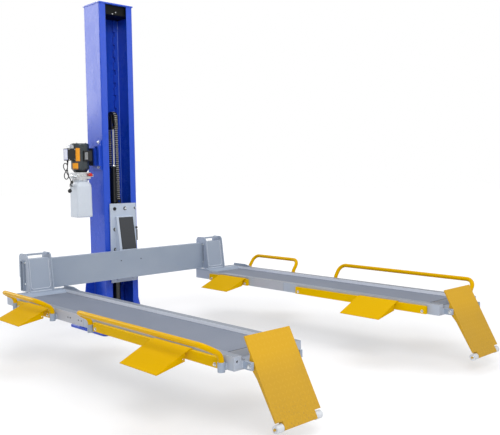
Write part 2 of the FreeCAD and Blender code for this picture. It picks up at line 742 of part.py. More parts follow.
def rail_sockets(side):
    parts = []
    for y in SOCKET_Y:
        tube = rod((SOCKET_X, y, RUN_Z0 - 10), (SOCKET_X, y, SOCKET_TOP), SOCKET_R)
        tube = tube.cut(rod((SOCKET_X, y, RUN_Z0 - 11), (SOCKET_X, y, SOCKET_TOP + 1), TUBE_R))
        parts.append(tube)
        parts.append(block(RUN_OUT, SOCKET_X - TUBE_R - 1, y - 12, y + 12, RUN_Z0 - 2, RUN_Z0 + 34))
    shape = Part.makeCompound(parts)
    return shape if side > 0 else mirror(shape)


def bent_tube(points, bend, radius):
    """Round tube along straight runs joined by arcs of the given bend radius."""
    pts = [V(*p) for p in points]
    edges = []
    start = pts[0]
    for i in range(1, len(pts) - 1):
        into = (pts[i - 1] - pts[i]).normalize()
        away = (pts[i + 1] - pts[i]).normalize()
        half = 0.5 * into.getAngle(away)
        reach = bend / math.tan(half)
        centre_dir = (into + away).normalize()
        middle = pts[i] + centre_dir * (bend / math.sin(half) - bend)
        a = pts[i] + into * reach
        b = pts[i] + away * reach
        if (a - start).Length > 1e-6:
            edges.append(Part.makeLine(start, a))
        edges.append(Part.Arc(a, middle, b).toShape())
        start = b
    edges.append(Part.makeLine(start, pts[-1]))
    spine = Part.Wire(edges)
    ring = Part.Wire([Part.makeCircle(radius, pts[0], pts[1] - pts[0])])
    return spine.makePipeShell([ring], True, True)


def guard_rails(side):
    """Two side guards whose legs stand in sockets and whose upper runs lean out from the runway."""
    parts = []
    x_top, z_top = GUARD_FAR if side > 0 else GUARD_NEAR
    foot_z = RUN_Z0 - 6
    for y0, y1 in (SOCKET_Y[:2], SOCKET_Y[2:]):
        pts = [(SOCKET_X, y0, foot_z), (SOCKET_X, y0, NECK_Z), (x_top, y0, z_top)]
        pts += [(x_top, y1, z_top), (SOCKET_X, y1, NECK_Z), (SOCKET_X, y1, foot_z)]
        parts.append(bent_tube(pts, GUARD_BEND, TUBE_R))
    shape = Part.makeCompound(parts)
    return shape if side > 0 else mirror(shape)


# End ramps, drawn flat and then turned down about the hinge


def swing(shape):
    out = shape.copy()
    out.rotate(V(0, HINGE_Y, HINGE_Z), V(1, 0, 0), RAMP_DROP)
    return out


def end_ramp(side):
    """Ramp plate with side flanges that deepen into hinge lugs, and the roller axle in its foot."""
    x0 = RUN_MID - RAMP_HALF
    x1 = RUN_MID + RAMP_HALF
    top = HINGE_Z + 20
    y_in = HINGE_Y + RAMP_UP
    y_out = HINGE_Y - RAMP_DOWN
    y_notch = y_out + ROLLER_NOTCH
    foot0 = x0 + ROLLER_L + 2
    foot1 = x1 - ROLLER_L - 2
    plate = block(x0, x1, y_notch, y_in, top - RAMP_T, top)
    tongue = block(foot0, foot1, y_out, y_notch, top - RAMP_T, top)
    edge = block(foot0, foot1, y_out, y_out + RAMP_T, top - 28, top)
    lug = HINGE_Z - 14
    flange = [(y_in, top), (y_in, top - RAMP_LIP), (HINGE_Y + 56, top - RAMP_LIP), (HINGE_Y + 24, lug)]
    flange += [(HINGE_Y - 24, lug), (HINGE_Y - 76, top - 22), (y_notch, top - RAMP_LIP), (y_notch, top)]
    left = prism_x(flange, x0, x0 + 5)
    right = prism_x(flange, x1 - 5, x1)
    shape = fuse([plate, tongue, left, right, edge])
    bore = rod((x0 - 1, HINGE_Y, HINGE_Z), (x1 + 1, HINGE_Y, HINGE_Z), PIN_R + 0.08)
    shape = shape.cut(bore)
    y = y_out + AXLE_IN
    z = top - ROLLER_R
    parts = [shape, rod((x0 - 8, y, z), (x1 + 8, y, z), AXLE_R)]
    for x in (foot0, foot1 - 6):
        parts.append(block(x, x + 6, y_out + RAMP_T, y + 30, z - 10, top - RAMP_T))
    shape = swing(fuse(parts))
    return shape if side > 0 else mirror(shape)


def rollers(side):
    y = HINGE_Y - RAMP_DOWN + AXLE_IN
    z = HINGE_Z + 20 - ROLLER_R
    parts = []
    for x in (RUN_MID - RAMP_HALF, RUN_MID + RAMP_HALF - ROLLER_L):
        wheel = rod((x, y, z), (x + ROLLER_L, y, z), ROLLER_R)
        parts.append(wheel.cut(rod((x - 1, y, z), (x + ROLLER_L + 1, y, z), AXLE_R)))
    shape = swing(Part.makeCompound(parts))
    return shape if side > 0 else mirror(shape)


save("base_plate", base_plate())
save("column", column())
save("column_cap", column_cap())
save("foot_gussets", foot_gussets())
save("latch_rack", latch_rack())
save("top_block", top_block())
save("cylinder_barrel", cylinder_barrel())
save("piston_rod", piston_rod())
save("sheave_head", sheave_head())
save("sheave", sheave())
save("lift_chain", lift_chain())
save("unit_bracket", unit_bracket())
save("unit_spacer", unit_spacer())
save("motor_body", motor_body())
save("motor_cover", motor_cover())
save("control_box", control_box())
save("terminal_box", terminal_box())
save("pump_block", pump_block())
save("oil_tank", oil_tank())
save("lowering_lever", lowering_lever())
save("valve_knob", valve_knob())
save("power_cord", power_cord())
save("cord_plug", cord_plug())
save("carriage_plate", carriage_plate())
save("carriage_frame", carriage_frame())
save("slide_pads", slide_pads())
save("carriage_wedge", carriage_wedge())
save("wedge_panel", wedge_panel())
save("lock_release", lock_release())
save("cross_beam", cross_beam())
for label, sign in (("near", -1), ("far", 1)):
    save(label + "_bracket", bracket(sign))
    save(label + "_runway_frame", runway_frame(sign))
    save(label + "_rear_shelf", rear_shelf(sign))
    save(label + "_deck", deck(sign))
    save(label + "_ramp_hinge", ramp_hinge(sign))
    save(label + "_side_bars", side_bars(sign))
    save(label + "_side_ramps", side_ramps(sign))
    save(label + "_rail_sockets", rail_sockets(sign))
    save(label + "_guard_rails", guard_rails(sign))
    save(label + "_end_ramp", end_ramp(sign))
    save(label + "_rollers", rollers(sign))
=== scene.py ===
"""Studio picture of a single post lift for small utility vehicles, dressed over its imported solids.

Lengths in mesh code are millimetres and are scaled once, when a piece is made. Lamps, camera and the
cord are in metres. The origin is on the floor under the post, +Z is up, -Y points along the runways
to the drive on end and +X points to the far runway.
"""
import math

import bmesh
import bpy
from mathutils import Matrix, Vector


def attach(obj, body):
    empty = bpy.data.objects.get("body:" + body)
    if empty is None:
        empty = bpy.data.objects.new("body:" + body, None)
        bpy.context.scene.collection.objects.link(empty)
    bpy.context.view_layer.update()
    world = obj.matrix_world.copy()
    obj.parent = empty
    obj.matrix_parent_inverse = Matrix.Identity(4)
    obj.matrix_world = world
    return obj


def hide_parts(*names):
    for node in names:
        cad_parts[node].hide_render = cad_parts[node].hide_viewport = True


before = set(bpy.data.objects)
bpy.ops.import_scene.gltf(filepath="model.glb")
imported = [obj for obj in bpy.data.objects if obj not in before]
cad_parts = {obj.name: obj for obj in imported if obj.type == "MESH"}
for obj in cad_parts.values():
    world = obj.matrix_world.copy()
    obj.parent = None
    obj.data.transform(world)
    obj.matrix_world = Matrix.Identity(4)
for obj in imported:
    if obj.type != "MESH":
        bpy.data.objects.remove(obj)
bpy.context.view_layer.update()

MM = 0.001
SIDEWAYS = (1.0, 0.0, 0.0)
REARWARDS = (0.0, 1.0, 0.0)
UPWARDS = (0.0, 0.0, 1.0)

# The floor brightens between these distances from the lift's middle, in metres
FLOOR_MIDDLE = (0.0, -1.4, 0.0)
FLOOR_NEAR = 2.2
FLOOR_FAR = 7.0

# Sizes of patterns, in millimetres. Orange peel is really about 2 mm across, ground metal 0.2 mm and
# moulded grain 0.4 mm: all three are too fine to show, and are drawn as coarse as they need to be.
CLOUD_MM = 240.0
SPECK_MM = 3.2
PEEL_MM = 6.0
GROUND_MM = 1.5
TARNISH_MM = 30.0
GRAIN_MM = 1.2
TONE_MM = 60.0
SHEEN_MM = 25.0

# Camera, as it stood for the photograph
LENS_IN_WIDTHS = 701.44 / 500
SENSOR = 36.0
EYE = (-3.5239, -5.6647, 1.3999)
LOOK_TURN = math.radians(-42.93)
LOOK_DOWN = math.radians(3.69)
LOOK_ROLL = math.radians(-0.814)

# Post, cylinder and chain
POST_HALF_W = 172.5
POST_FRONT = -134.0
POST_TOP = 2924.0
BLOCK_FRONT = -108.0
CYL_Y = -30.0
ROD_R = 16.0
GLAND_TOP = 1471.0
SHEAVE_Z = 1915.0
CHAIN_W = 28.0
CHAIN_T = 14.0
CHAIN_PITCH = 19.05
CHAIN_LINE = 55.0
CHAIN_FOOT = (-100.0, 1167.0)
CHAIN_STEP = 18.963

# Base plate and gussets
BASE_TOP = 20.0
GUSSET_Y = (70.0, 80.0)

# Power unit
UNIT_X = -332.0
UNIT_Y = -5.0
MOTOR_R = 80.0
UNIT_PLATE_X = -180.5
MOTOR_BAND_Z = 1439.0
PUMP_FOOT = 1352.0
LEVER_Y = -35.0
LEVER_RISE = Vector((0.306, 0.0, 0.952))
BALL_TOP = 1274.0
BOX_FACE_X = -471.8

# Carriage, beam and brackets
CARR_FRONT = -152.0
PANEL_MID = 21.0
PANEL_HALF = 70.0
BEAM_FRONT = -304.0
BEAM_REAR = -249.0
BEAM_TOP = 713.0
BRACKET_X = 924.0
BRACKET_HALF = 106.0
CHEEK_T = 10.0
CLAMP_Z = (697.0, 526.0)
DECK_EDGE_Z = 463.0
LEAN_FOOT_Y = -372.6
LEAN_BACK = 34.0
LEAN_HIGH = 263.0

# Runways, bars and ramps
RUN_IN = 701.0
RUN_OUT = 1200.0
RUN_MID = 950.5
RUN_FRONT = -3032.0
RAIL_W = 50.0
SPLICE_Y = -1525.0
REAR_GUARD_Y = -1150.0
BAR_FACE = 25.0
BAR_BOLT_Z = 408.0
REAR_BAR = (-1100.0, -575.0)
FRONT_BAR = (-2940.0, -1690.0)
SOCKET_Y = (-548.0, -1143.0, -1660.0, -2962.0)
HINGE_Y = -3080.0
HINGE_Z = 412.5
EAR_OUT = 190.0
RAMP_HALF = 167.0
RAMP_DROP = math.radians(61.1)
UP_RAMP = (0.0, math.cos(RAMP_DROP), math.sin(RAMP_DROP))
RAMP_FOLD = -1130.0
AXLE_OUT = 335.0
AXLE_LOW = 2.0


def stand_camera():
    """Camera at the photograph's place, from its turn, its tilt and its roll."""
    data = bpy.data.cameras.new("studio_camera")
    data.sensor_width = SENSOR
    data.lens = LENS_IN_WIDTHS * SENSOR
    data.clip_end = 100.0
    camera = bpy.data.objects.new("studio_camera", data)
    bpy.context.collection.objects.link(camera)
    turn, down = LOOK_TURN, LOOK_DOWN
    ahead = Vector((-math.sin(turn) * math.cos(down), math.cos(turn) * math.cos(down), -math.sin(down)))
    right = Vector((math.cos(turn), math.sin(turn), 0.0))
    up = right.cross(ahead)
    c, s = math.cos(LOOK_ROLL), math.sin(LOOK_ROLL)
    right, up = right * c + up * s, up * c - right * s
    axes = Matrix((right, up, -ahead)).transposed().to_4x4()
    camera.matrix_world = Matrix.Translation(EYE) @ axes
    bpy.context.scene.camera = camera


# Material tools


def linear(hexcode):
    """The linear colour of an sRGB hex value."""
    parts = [int(hexcode[i:i + 2], 16) / 255 for i in (0, 2, 4)]
    return tuple(p / 12.92 if p <= 0.04045 else ((p + 0.055) / 1.055) ** 2.4 for p in parts) + (1.0,)


def add(tree, kind, links=(), out=0, **settings):
    """Adds a node with its settings, fills or links its inputs, and gives one of its outputs."""
    made = tree.nodes.new("ShaderNode" + kind)
    for name, value in settings.items():
        setattr(made, name, value)
    for name, value in links.items() if isinstance(links, dict) else enumerate(links):
        if isinstance(value, bpy.types.NodeSocket):
            tree.links.new(value, made.inputs[name])
        else:
            made.inputs[name].default_value = value
    return made.outputs[out] if made.outputs else None


def begin(name):
    """An empty material with its tree, and a position in millimetres on the piece."""
    material = bpy.data.materials.new(name)
    material.use_nodes = True
    tree = material.node_tree
    tree.nodes.clear()
    place = add(tree, "TexCoord", out="Object")
    return material, tree, add(tree, "VectorMath", (place, (1000.0,) * 3), operation="MULTIPLY")


def patches(tree, mm, size, detail, low, high):
    """A value that drifts from low to high in soft patches of a size in millimetres."""
    cloud = add(tree, "TexNoise", {"Vector": mm, "Scale": 1 / size, "Detail": detail})
    return add(tree, "MapRange", (cloud, 0.3, 0.7, low, high))


def edge_wear_and_highlight(tree, soft_edge):
    """One along sharp edges, where the rounded normal leaves the flat one, and zero elsewhere."""
    flat = add(tree, "NewGeometry", out="Normal")
    across = add(tree, "VectorMath", (soft_edge, flat), out="Value", operation="DOT_PRODUCT")
    return add(tree, "MapRange", (across, 0.99, 0.86))


def tread_marks(tree, mm, pitch, side, run):
    """Height of the raised lozenges of tread plate, turned one way and the other in turn."""
    rows = []
    middles = []
    for direction in (side, run):
        reach = add(tree, "VectorMath", (mm, direction), out="Value", operation="DOT_PRODUCT")
        cell = add(tree, "Math", (reach, pitch), operation="DIVIDE")
        rows.append(add(tree, "Math", (cell,), operation="FLOOR"))
        share = add(tree, "Math", (cell,), operation="FRACT")
        middles.append(add(tree, "Math", (share, 0.5), operation="SUBTRACT"))
    both = add(tree, "Math", rows, operation="ADD")
    parity = add(tree, "Math", (both, 2.0), operation="FLOORED_MODULO")
    sign = add(tree, "Math", (parity, 2.0, -1.0), operation="MULTIPLY_ADD")
    squares = []
    for first, second, join, slimness in ((0, 1, "ADD", 1.55), (1, 0, "SUBTRACT", 4.6)):
        turned = add(tree, "Math", (sign, middles[second]), operation="MULTIPLY")
        offset = add(tree, "Math", (middles[first], turned), operation=join)
        scaled = add(tree, "Math", (offset, slimness), operation="MULTIPLY")
        length = add(tree, "Math", (scaled,), operation="ABSOLUTE")
        squares.append(add(tree, "Math", (length, 2.0), operation="POWER"))
    reach = add(tree, "Math", (add(tree, "Math", squares, operation="ADD"),), operation="SQRT")
    return add(tree, "MapRange", (reach, 1.0, 0.6))


def powder_coat(name, paint, pale_film_and_highlight, rough=0.34, edge=2.0, peel_mm=PEEL_MM, dust="d9dbe0", dusty=0.08,
                level=0.5, tread=None, zones=(), shine="ffffff", rim_share=0.45):
    """Baked powder coat on steel: even gloss, a fine orange peel, and a paler colour along sharp edges,
    partly for the thinner film there and partly as a painted highlight.

    tread gives the pitch, the side direction, the run direction and the height of raised marks. zones
    are (colour, share, test) where test builds a mask from the tree and the position.
    """
    material, tree, mm = begin(name)
    soft_edge = add(tree, "Bevel", {"Radius": edge * MM}, samples=4)
    rim = add(tree, "Math", (edge_wear_and_highlight(tree, soft_edge), rim_share), operation="MULTIPLY")
    drift = patches(tree, mm, CLOUD_MM, 3.0, 0.0, dusty)
    body = add(tree, "Mix", {0: drift, 6: linear(paint), 7: linear(dust)}, out=2, data_type="RGBA")
    for colour, share, test in zones:
        part = add(tree, "Math", (test(tree, mm), share), operation="MULTIPLY")
        body = add(tree, "Mix", {0: part, 6: body, 7: linear(colour)}, out=2, data_type="RGBA")
    height = add(tree, "TexNoise", {"Vector": mm, "Scale": 1 / peel_mm, "Detail": 1.0})
    if tread:
        pitch, side, run, rise = tread
        marks = tread_marks(tree, mm, pitch, side, run)
        rubbed = add(tree, "Math", (marks, 0.10), operation="MULTIPLY")
        body = add(tree, "Mix", {0: rubbed, 6: body, 7: linear(pale_film_and_highlight)}, out=2, data_type="RGBA")
        height = add(tree, "Math", (marks, rise, height), operation="MULTIPLY_ADD")
    # The paler colour along the edges is partly thinned film and partly a painted highlight
    worn_and_lit = add(tree, "Mix", {0: rim, 6: body, 7: linear(pale_film_and_highlight)}, out=2, data_type="RGBA")
    bump = add(tree, "Bump", {"Strength": 0.12, "Distance": 0.0008, "Height": height, "Normal": soft_edge})
    specks = patches(tree, mm, SPECK_MM, 1.0, -0.02, 0.03)
    haze = patches(tree, mm, CLOUD_MM, 3.0, rough - 0.05, rough + 0.06)
    gloss = add(tree, "Math", (haze, specks), operation="ADD")
    surface = add(tree, "BsdfPrincipled", {"Base Color": worn_and_lit, "Roughness": gloss, "Normal": bump, "IOR": 1.5,
                                           "Specular IOR Level": level, "Specular Tint": linear(shine)})
    add(tree, "OutputMaterial", (surface,))
    return material


def plain_metal(name, colour, rough, grain_mm=GROUND_MM, stretch=(1.0, 1.0, 1.0), edge=0.8, tint=None,
                zones=()):
    """Bare or plated metal: its grain follows how it was made, and breaks up the gloss."""
    material, tree, mm = begin(name)
    soft_edge = add(tree, "Bevel", {"Radius": edge * MM}, samples=4)
    drawn = add(tree, "VectorMath", (mm, stretch), operation="MULTIPLY")
    grain = add(tree, "TexNoise", {"Vector": drawn, "Scale": 1 / grain_mm, "Detail": 3.0})
    cloud = add(tree, "TexNoise", {"Vector": mm, "Scale": 1 / TARNISH_MM, "Detail": 2.0})
    share = add(tree, "MapRange", (cloud, 0.35, 0.7, 0.0, 0.6))
    shade = {0: share, 6: linear(colour), 7: linear(tint or colour)}
    shade = add(tree, "Mix", shade, out=2, data_type="RGBA")
    for other, strength, test in zones:
        part = add(tree, "Math", (test(tree, mm), strength), operation="MULTIPLY")
        shade = add(tree, "Mix", {0: part, 6: shade, 7: linear(other)}, out=2, data_type="RGBA")
    bump = add(tree, "Bump", {"Strength": 0.08, "Distance": 0.0003, "Height": grain, "Normal": soft_edge})
    gloss = add(tree, "MapRange", (grain, 0.25, 0.75, max(rough - 0.08, 0.02), rough + 0.08))
    surface = add(tree, "BsdfPrincipled", {"Base Color": shade, "Roughness": gloss, "Normal": bump,
                                           "Metallic": 1.0})
    add(tree, "OutputMaterial", (surface,))
    return material


def moulded(name, colour, rough, glow=0.0, tone=0.05, level=0.5):
    """Moulded plastic or rubber: a fine even grain, soft at its edges, some of it letting light in."""
    material, tree, mm = begin(name)
    soft_edge = add(tree, "Bevel", {"Radius": 1.0 * MM}, samples=4)
    tones = patches(tree, mm, TONE_MM, 2.0, 1.0 - tone, 1.0 + tone)
    shade = add(tree, "HueSaturation", {"Color": linear(colour), "Value": tones})
    grain = add(tree, "TexNoise", {"Vector": mm, "Scale": 1 / GRAIN_MM, "Detail": 2.0})
    bump = add(tree, "Bump", {"Strength": 0.12, "Distance": 0.0003, "Height": grain, "Normal": soft_edge})
    gloss = patches(tree, mm, SHEEN_MM, 3.0, rough - 0.04, rough + 0.05)
    values = {"Base Color": shade, "Roughness": gloss, "Normal": bump, "IOR": 1.46,
              "Specular IOR Level": level}
    if glow:
        values["Subsurface Weight"] = glow
        values["Subsurface Radius"] = (0.012, 0.012, 0.014)
    add(tree, "OutputMaterial", (add(tree, "BsdfPrincipled", values),))
    return material


def two_finishes(name, above, below, split):
    """Chrome above a height and black plastic below it, for the lever and its ball."""
    material, tree, mm = begin(name)
    height = add(tree, "VectorMath", (mm, UPWARDS), out="Value", operation="DOT_PRODUCT")
    high = add(tree, "MapRange", (height, split - 0.3, split + 0.3))
    shade = add(tree, "Mix", {0: high, 6: linear(below), 7: linear(above)}, out=2, data_type="RGBA")
    grain = add(tree, "TexNoise", {"Vector": mm, "Scale": 1 / 1.4, "Detail": 2.0})
    gloss = add(tree, "MapRange", (grain, 0.3, 0.7, 0.16, 0.24))
    bump = add(tree, "Bump", {"Strength": 0.05, "Distance": 0.0003, "Height": grain})
    surface = add(tree, "BsdfPrincipled", {"Base Color": shade, "Metallic": high, "Roughness": gloss,
                                           "Normal": bump})
    add(tree, "OutputMaterial", (surface,))
    return material


# Zones of the paint


def reach_along(tree, mm, direction, place, near, far):
    """Goes from zero to one between two distances past a place, along a direction."""
    run = add(tree, "VectorMath", (mm, direction), out="Value", operation="DOT_PRODUCT")
    past = add(tree, "Math", (run, place), operation="SUBTRACT")
    return add(tree, "MapRange", (past, near, far))


def band_across(tree, mm, direction, place, half, blur):
    """One in a band on either side of a place, along a direction."""
    run = add(tree, "VectorMath", (mm, direction), out="Value", operation="DOT_PRODUCT")
    past = add(tree, "Math", (run, place), operation="SUBTRACT")
    off = add(tree, "Math", (past,), operation="ABSOLUTE")
    return add(tree, "MapRange", (off, half + blur, half))


def splice_seam(tree, mm):
    """The butt joint between the two lengths of the outer rail."""
    return band_across(tree, mm, REARWARDS, SPLICE_Y, 0.9, 0.9)


def splice_length(tree, mm):
    """The short length of the outer rail between the rear guard and the joint, a little warmer."""
    front = reach_along(tree, mm, REARWARDS, SPLICE_Y, -1.0, 1.0)
    rear = reach_along(tree, mm, REARWARDS, REAR_GUARD_Y, 0.0, -20.0)
    return add(tree, "Math", (front, rear), operation="MULTIPLY")


def rail_top_shade(tree, mm):
    """The upper faces of the rails, where a darker grey is painted as shade."""
    return reach_along(tree, mm, UPWARDS, DECK_EDGE_Z, -0.8, -0.1)


def rail_wall_highlight(tree, mm):
    """The walls of the rails that look over the deck to the left, which catch the light."""
    walls = []
    for place in (-RUN_IN - RAIL_W, RUN_OUT - RAIL_W):
        walls.append(band_across(tree, mm, SIDEWAYS, place, 0.5, 0.7))
    return add(tree, "Math", walls, operation="MAXIMUM")


def pin_shade(tree, mm):
    """Painted shade round the chain's pins, which leaves the middle of each link bright."""
    height = add(tree, "VectorMath", (mm, UPWARDS), out="Value", operation="DOT_PRODUCT")
    rise = add(tree, "Math", (height, CHAIN_FOOT[1]), operation="SUBTRACT")
    turn = add(tree, "Math", (rise, 2 * math.pi / CHAIN_STEP), operation="MULTIPLY")
    return add(tree, "MapRange", (add(tree, "Math", (turn,), operation="COSINE"), -0.35, 0.05))


def ramp_foot(tree, mm):
    """Scuffs that thicken towards the end of a ramp that meets the floor."""
    low = reach_along(tree, mm, UP_RAMP, RAMP_FOLD, -150.0, -345.0)
    grit = add(tree, "TexNoise", {"Vector": mm, "Scale": 1 / 7.0, "Detail": 4.0})
    return add(tree, "Math", (low, add(tree, "MapRange", (grit, 0.52, 0.66))), operation="MULTIPLY")


def ramp_head(tree, mm):
    """The upper flap of an end ramp, above the fold, given a clearer yellow than the part that meets the
    floor.
    """
    return reach_along(tree, mm, UP_RAMP, RAMP_FOLD, -80.0, 50.0)


def motor_foot(tree, mm):
    """The black band round the bottom of the motor."""
    return reach_along(tree, mm, UPWARDS, MOTOR_BAND_Z, 1.0, -1.0)


def frame_line(tree, mm):
    """A dark line down each side of the panel, where it meets its frame."""
    run = add(tree, "VectorMath", (mm, SIDEWAYS), out="Value", operation="DOT_PRODUCT")
    past = add(tree, "Math", (run, PANEL_MID), operation="SUBTRACT")
    off = add(tree, "Math", (past,), operation="ABSOLUTE")
    return add(tree, "MapRange", (off, PANEL_HALF - 1.5, PANEL_HALF))


# Gloss blue powder coat: a deep even blue with a clear soft reflection of the studio
BLUE = powder_coat("gloss_blue_powder_coat", "1848c3", "6c88e4", rough=0.27, dust="2f5ad6", dusty=0.2,
                   level=0.42)
# The same blue over a smooth bead, painted much paler as one long painted highlight
RACK_HIGHLIGHT = powder_coat("pale_blue_painted_highlight", "6f8fe6", "a9bdf4", rough=0.18, dusty=0.0)
# Blue grey powder coat: a satin film, lighter along the edges, where it thins and where a highlight is
# painted
GREY = powder_coat("blue_grey_powder_coat", "909db0", "dde3ea", rough=0.38, dusty=0.06, rim_share=0.8)
# Paler copies of the same grey, with painted light: on the plates that face the light, on the hooked brackets
# with painted highlights along their edges, and on their rims
LIT_PLATE = powder_coat("grey_powder_coat_painted_lighter", "b4c0d2", "e6ebf0", rough=0.34, dusty=0.06, rim_share=0.85)
HOOK = powder_coat("bracket_grey_powder_coat", "99a5b7", "e6ebf0", rough=0.34, dusty=0.06, rim_share=0.9)
# The rims' pale grey is a painted highlight
RIM_HIGHLIGHT = powder_coat("rim_grey_painted_highlight", "c2cad6", "eef1f5", rough=0.30, dusty=0.04, rim_share=0.9)
# On the rails a painted shade darkens the top, and a painted highlight brightens each wall that looks over
# the deck
RAIL = powder_coat("rail_grey_powder_coat", "a4adbc", "e2e7ed", rough=0.36, dusty=0.06, rim_share=0.8,
                   zones=(("b0acae", 0.45, splice_length), ("5a626e", 0.75, splice_seam),
                          ("737a86", 0.85, rail_top_shade), ("dfe4ee", 0.95, rail_wall_highlight)))
# The deck plate is rolled with small lozenges, so it looks darker and finely ruled
DECK = powder_coat("deck_grey_powder_coat", "767d8c", "98a0ac", rough=0.52, dusty=0.06, level=0.12,
                   tread=(26.0, SIDEWAYS, REARWARDS, 2.2))
# Safety yellow: a strong yellow with no white in it, and a tight streak of light along the tubes
YELLOW = powder_coat("safety_yellow_powder_coat", "d6a600", "f0c410", rough=0.22, dust="c89a00", level=0.14,
                     shine="ffc830")
# The same yellow on the square side bars, flatter because they are seen edge on
BAR_YELLOW = powder_coat("bar_yellow_powder_coat", "dcb000", "ecc000", rough=0.34, dust="d0a200", level=0.05,
                         shine="ffc830")
# On tread plate it looks matt, with the raised marks a shade lighter
SIDE_RAMP = powder_coat("tread_yellow_powder_coat", "d3a600", "e4b600", rough=0.46, dust="bd9200", level=0.03,
                        tread=(20.0, REARWARDS, SIDEWAYS, 1.6), shine="ffc830")
# The end ramps are painted over the tread marks, an oranger yellow that dulls towards the floor
AMBER = powder_coat("amber_powder_coat", "c4971b", "e0b848", rough=0.40, dust="ae8c3a", dusty=0.25,
                    level=0.22, tread=(30.0, SIDEWAYS, UP_RAMP, 1.0),
                    zones=(("d6a40c", 0.6, ramp_head), ("8a7040", 0.5, ramp_foot)))
# Small steel parts, blacked in oil: nearly black with a soft sheen. The same black paints the shade on the
# unit spacer and the shadow round the carriage bolts
BLACK = powder_coat("black_oiled_steel", "121316", "3c3e42", rough=0.36, dust="1c1e21")
# The head block sits in the mouth of the post, painted nearly black as the shade there
SHADE_BLACK = powder_coat("painted_shade_black", "050607", "202225", rough=0.55, dust="08090a", level=0.2)
# The cylinder is enamelled: a tight upright streak of light down a deep black
ENAMEL = powder_coat("black_enamel", "0e1113", "3c4246", rough=0.16, dust="15181a", level=0.6)
# Sheet rubber: a dull dark grey, closed in by a black line on each side
PANEL = powder_coat("dark_rubber_faced_panel", "35383d", "565b61", rough=0.6, dust="474b50", peel_mm=2.0,
                    zones=(("1d1f22", 0.9, frame_line),))
# Hard chrome, ground along its length: a clear mirror with long soft streaks
CHROME = plain_metal("hard_chrome_plate", "eceef0", 0.12, stretch=(1.0, 1.0, 0.05))
# Zinc plate: bright, a little milky, with a trace of yellow
ZINC = plain_metal("bright_zinc_plate", "dde0e3", 0.26, tint="c9cbc6")
# Die cast aluminium: pale and grainy, with a wide soft shine
ALUMINIUM = plain_metal("die_cast_aluminium", "d2d4d7", 0.40, grain_mm=2.5, tint="bfc1c4")
# Grey green motor enamel: glossy, so the round body runs from deep shade to a bright upright streak
MOTOR = powder_coat("motor_enamel", "2f383c", "7b8385", rough=0.22, dust="3b4448", level=0.6,
                    zones=(("060708", 0.95, motor_foot),))
# Moulded plastics: an even fine grain, glossier on the knob, and milky where the oil shows through
PLASTIC = moulded("black_moulded_plastic", "1a1b1d", 0.42)
TANK = moulded("milky_polyethylene", "d0d8e2", 0.34, glow=0.12, level=0.4, tone=0.015)
RED = moulded("red_moulded_knob", "c8140a", 0.28)
RUBBER = moulded("rubber_sheath", "151618", 0.50)
NYLON = moulded("turned_white_nylon", "cdd1d6", 0.42, glow=0.08)
# Chromed rod, grey against the pale floor, with its ball in black
LEVER = two_finishes("chromed_lever_with_black_ball", "94989d", "121315", BALL_TOP)
# Plain oiled steel, with painted shade round the pins that leaves the middle of each link bright
CHAIN_STEEL = plain_metal("oiled_chain_steel", "e0ddd2", 0.34, grain_mm=1.0, tint="b5b1a6",
                          zones=(("141312", 0.96, pin_shade),))
# Printed vinyl with nothing on it: flat colour under a smooth film
LABEL = moulded("orange_printed_vinyl", "f2a01c", 0.30, tone=0.03)
LABEL_FRAME = moulded("dark_vinyl_border", "b5700c", 0.34, tone=0.03)
PALE_LABEL = moulded("pale_printed_vinyl", "d9dcec", 0.30, tone=0.03)
PALE_FRAME = moulded("blue_vinyl_border", "6f7fc4", 0.34, tone=0.03)

FINISHES = (
    (BLUE, ["base_plate", "column", "column_cap", "unit_bracket", "latch_rack"]),
    (SHADE_BLACK, ["top_block"]),
    (ENAMEL, ["cylinder_barrel"]),
    # The unit spacer is a black box put where shade falls between the motor and its bracket: its black is
    # painted shade
    (BLACK, ["sheave_head", "sheave", "lift_chain", "unit_spacer", "carriage_frame"]),
    (PANEL, ["wedge_panel"]),
    (LIT_PLATE, ["carriage_plate", "carriage_wedge"]),
    (HOOK, ["near_bracket", "far_bracket"]),
    (GREY, ["cross_beam", "near_rear_shelf", "far_rear_shelf", "near_ramp_hinge", "far_ramp_hinge",
            "near_rail_sockets", "far_rail_sockets"]),
    (RAIL, ["near_runway_frame", "far_runway_frame"]),
    (DECK, ["near_deck", "far_deck"]),
    (YELLOW, ["near_guard_rails", "far_guard_rails"]),
    (BAR_YELLOW, ["near_side_bars", "far_side_bars"]),
    (SIDE_RAMP, ["near_side_ramps", "far_side_ramps"]),
    (AMBER, ["near_end_ramp", "far_end_ramp"]),
    (CHROME, ["piston_rod"]),
    (MOTOR, ["motor_body", "motor_cover"]),
    (ALUMINIUM, ["pump_block"]),
    (PLASTIC, ["control_box", "terminal_box", "lock_release"]),
    (TANK, ["oil_tank"]),
    (RED, ["valve_knob"]),
    (LEVER, ["lowering_lever"]),
    (RUBBER, ["cord_plug"]),
    (NYLON, ["near_rollers", "far_rollers", "slide_pads"]),
)


def dress_solids():
    """Give every node that keeps its own shape its finish."""
    for finish, names in FINISHES:
        for name in names:
            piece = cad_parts[name]
            if not piece.material_slots:
                piece.data.materials.append(finish)
            for holder in piece.material_slots:
                holder.material = finish


# Mesh tools, in millimetres


def stand_on(at, axis=UPWARDS, spin=0.0):
    """Matrix whose local +Z points along axis from a point."""
    turn = Vector(axis).to_track_quat("Z", "Y").to_matrix().to_4x4()
    return Matrix.Translation(at) @ turn @ Matrix.Rotation(spin, 4, "Z")


def skin(bm, low, high):
    """Faces between two rings of vertices; a ring of one closes to a point."""
    count = max(len(low), len(high))
    for k in range(count):
        n = (k + 1) % count
        if len(low) == 1:
            bm.faces.new((low[0], high[n], high[k]))
        elif len(high) == 1:
            bm.faces.new((low[k], low[n], high[0]))
        else:
            bm.faces.new((low[k], low[n], high[n], high[k]))


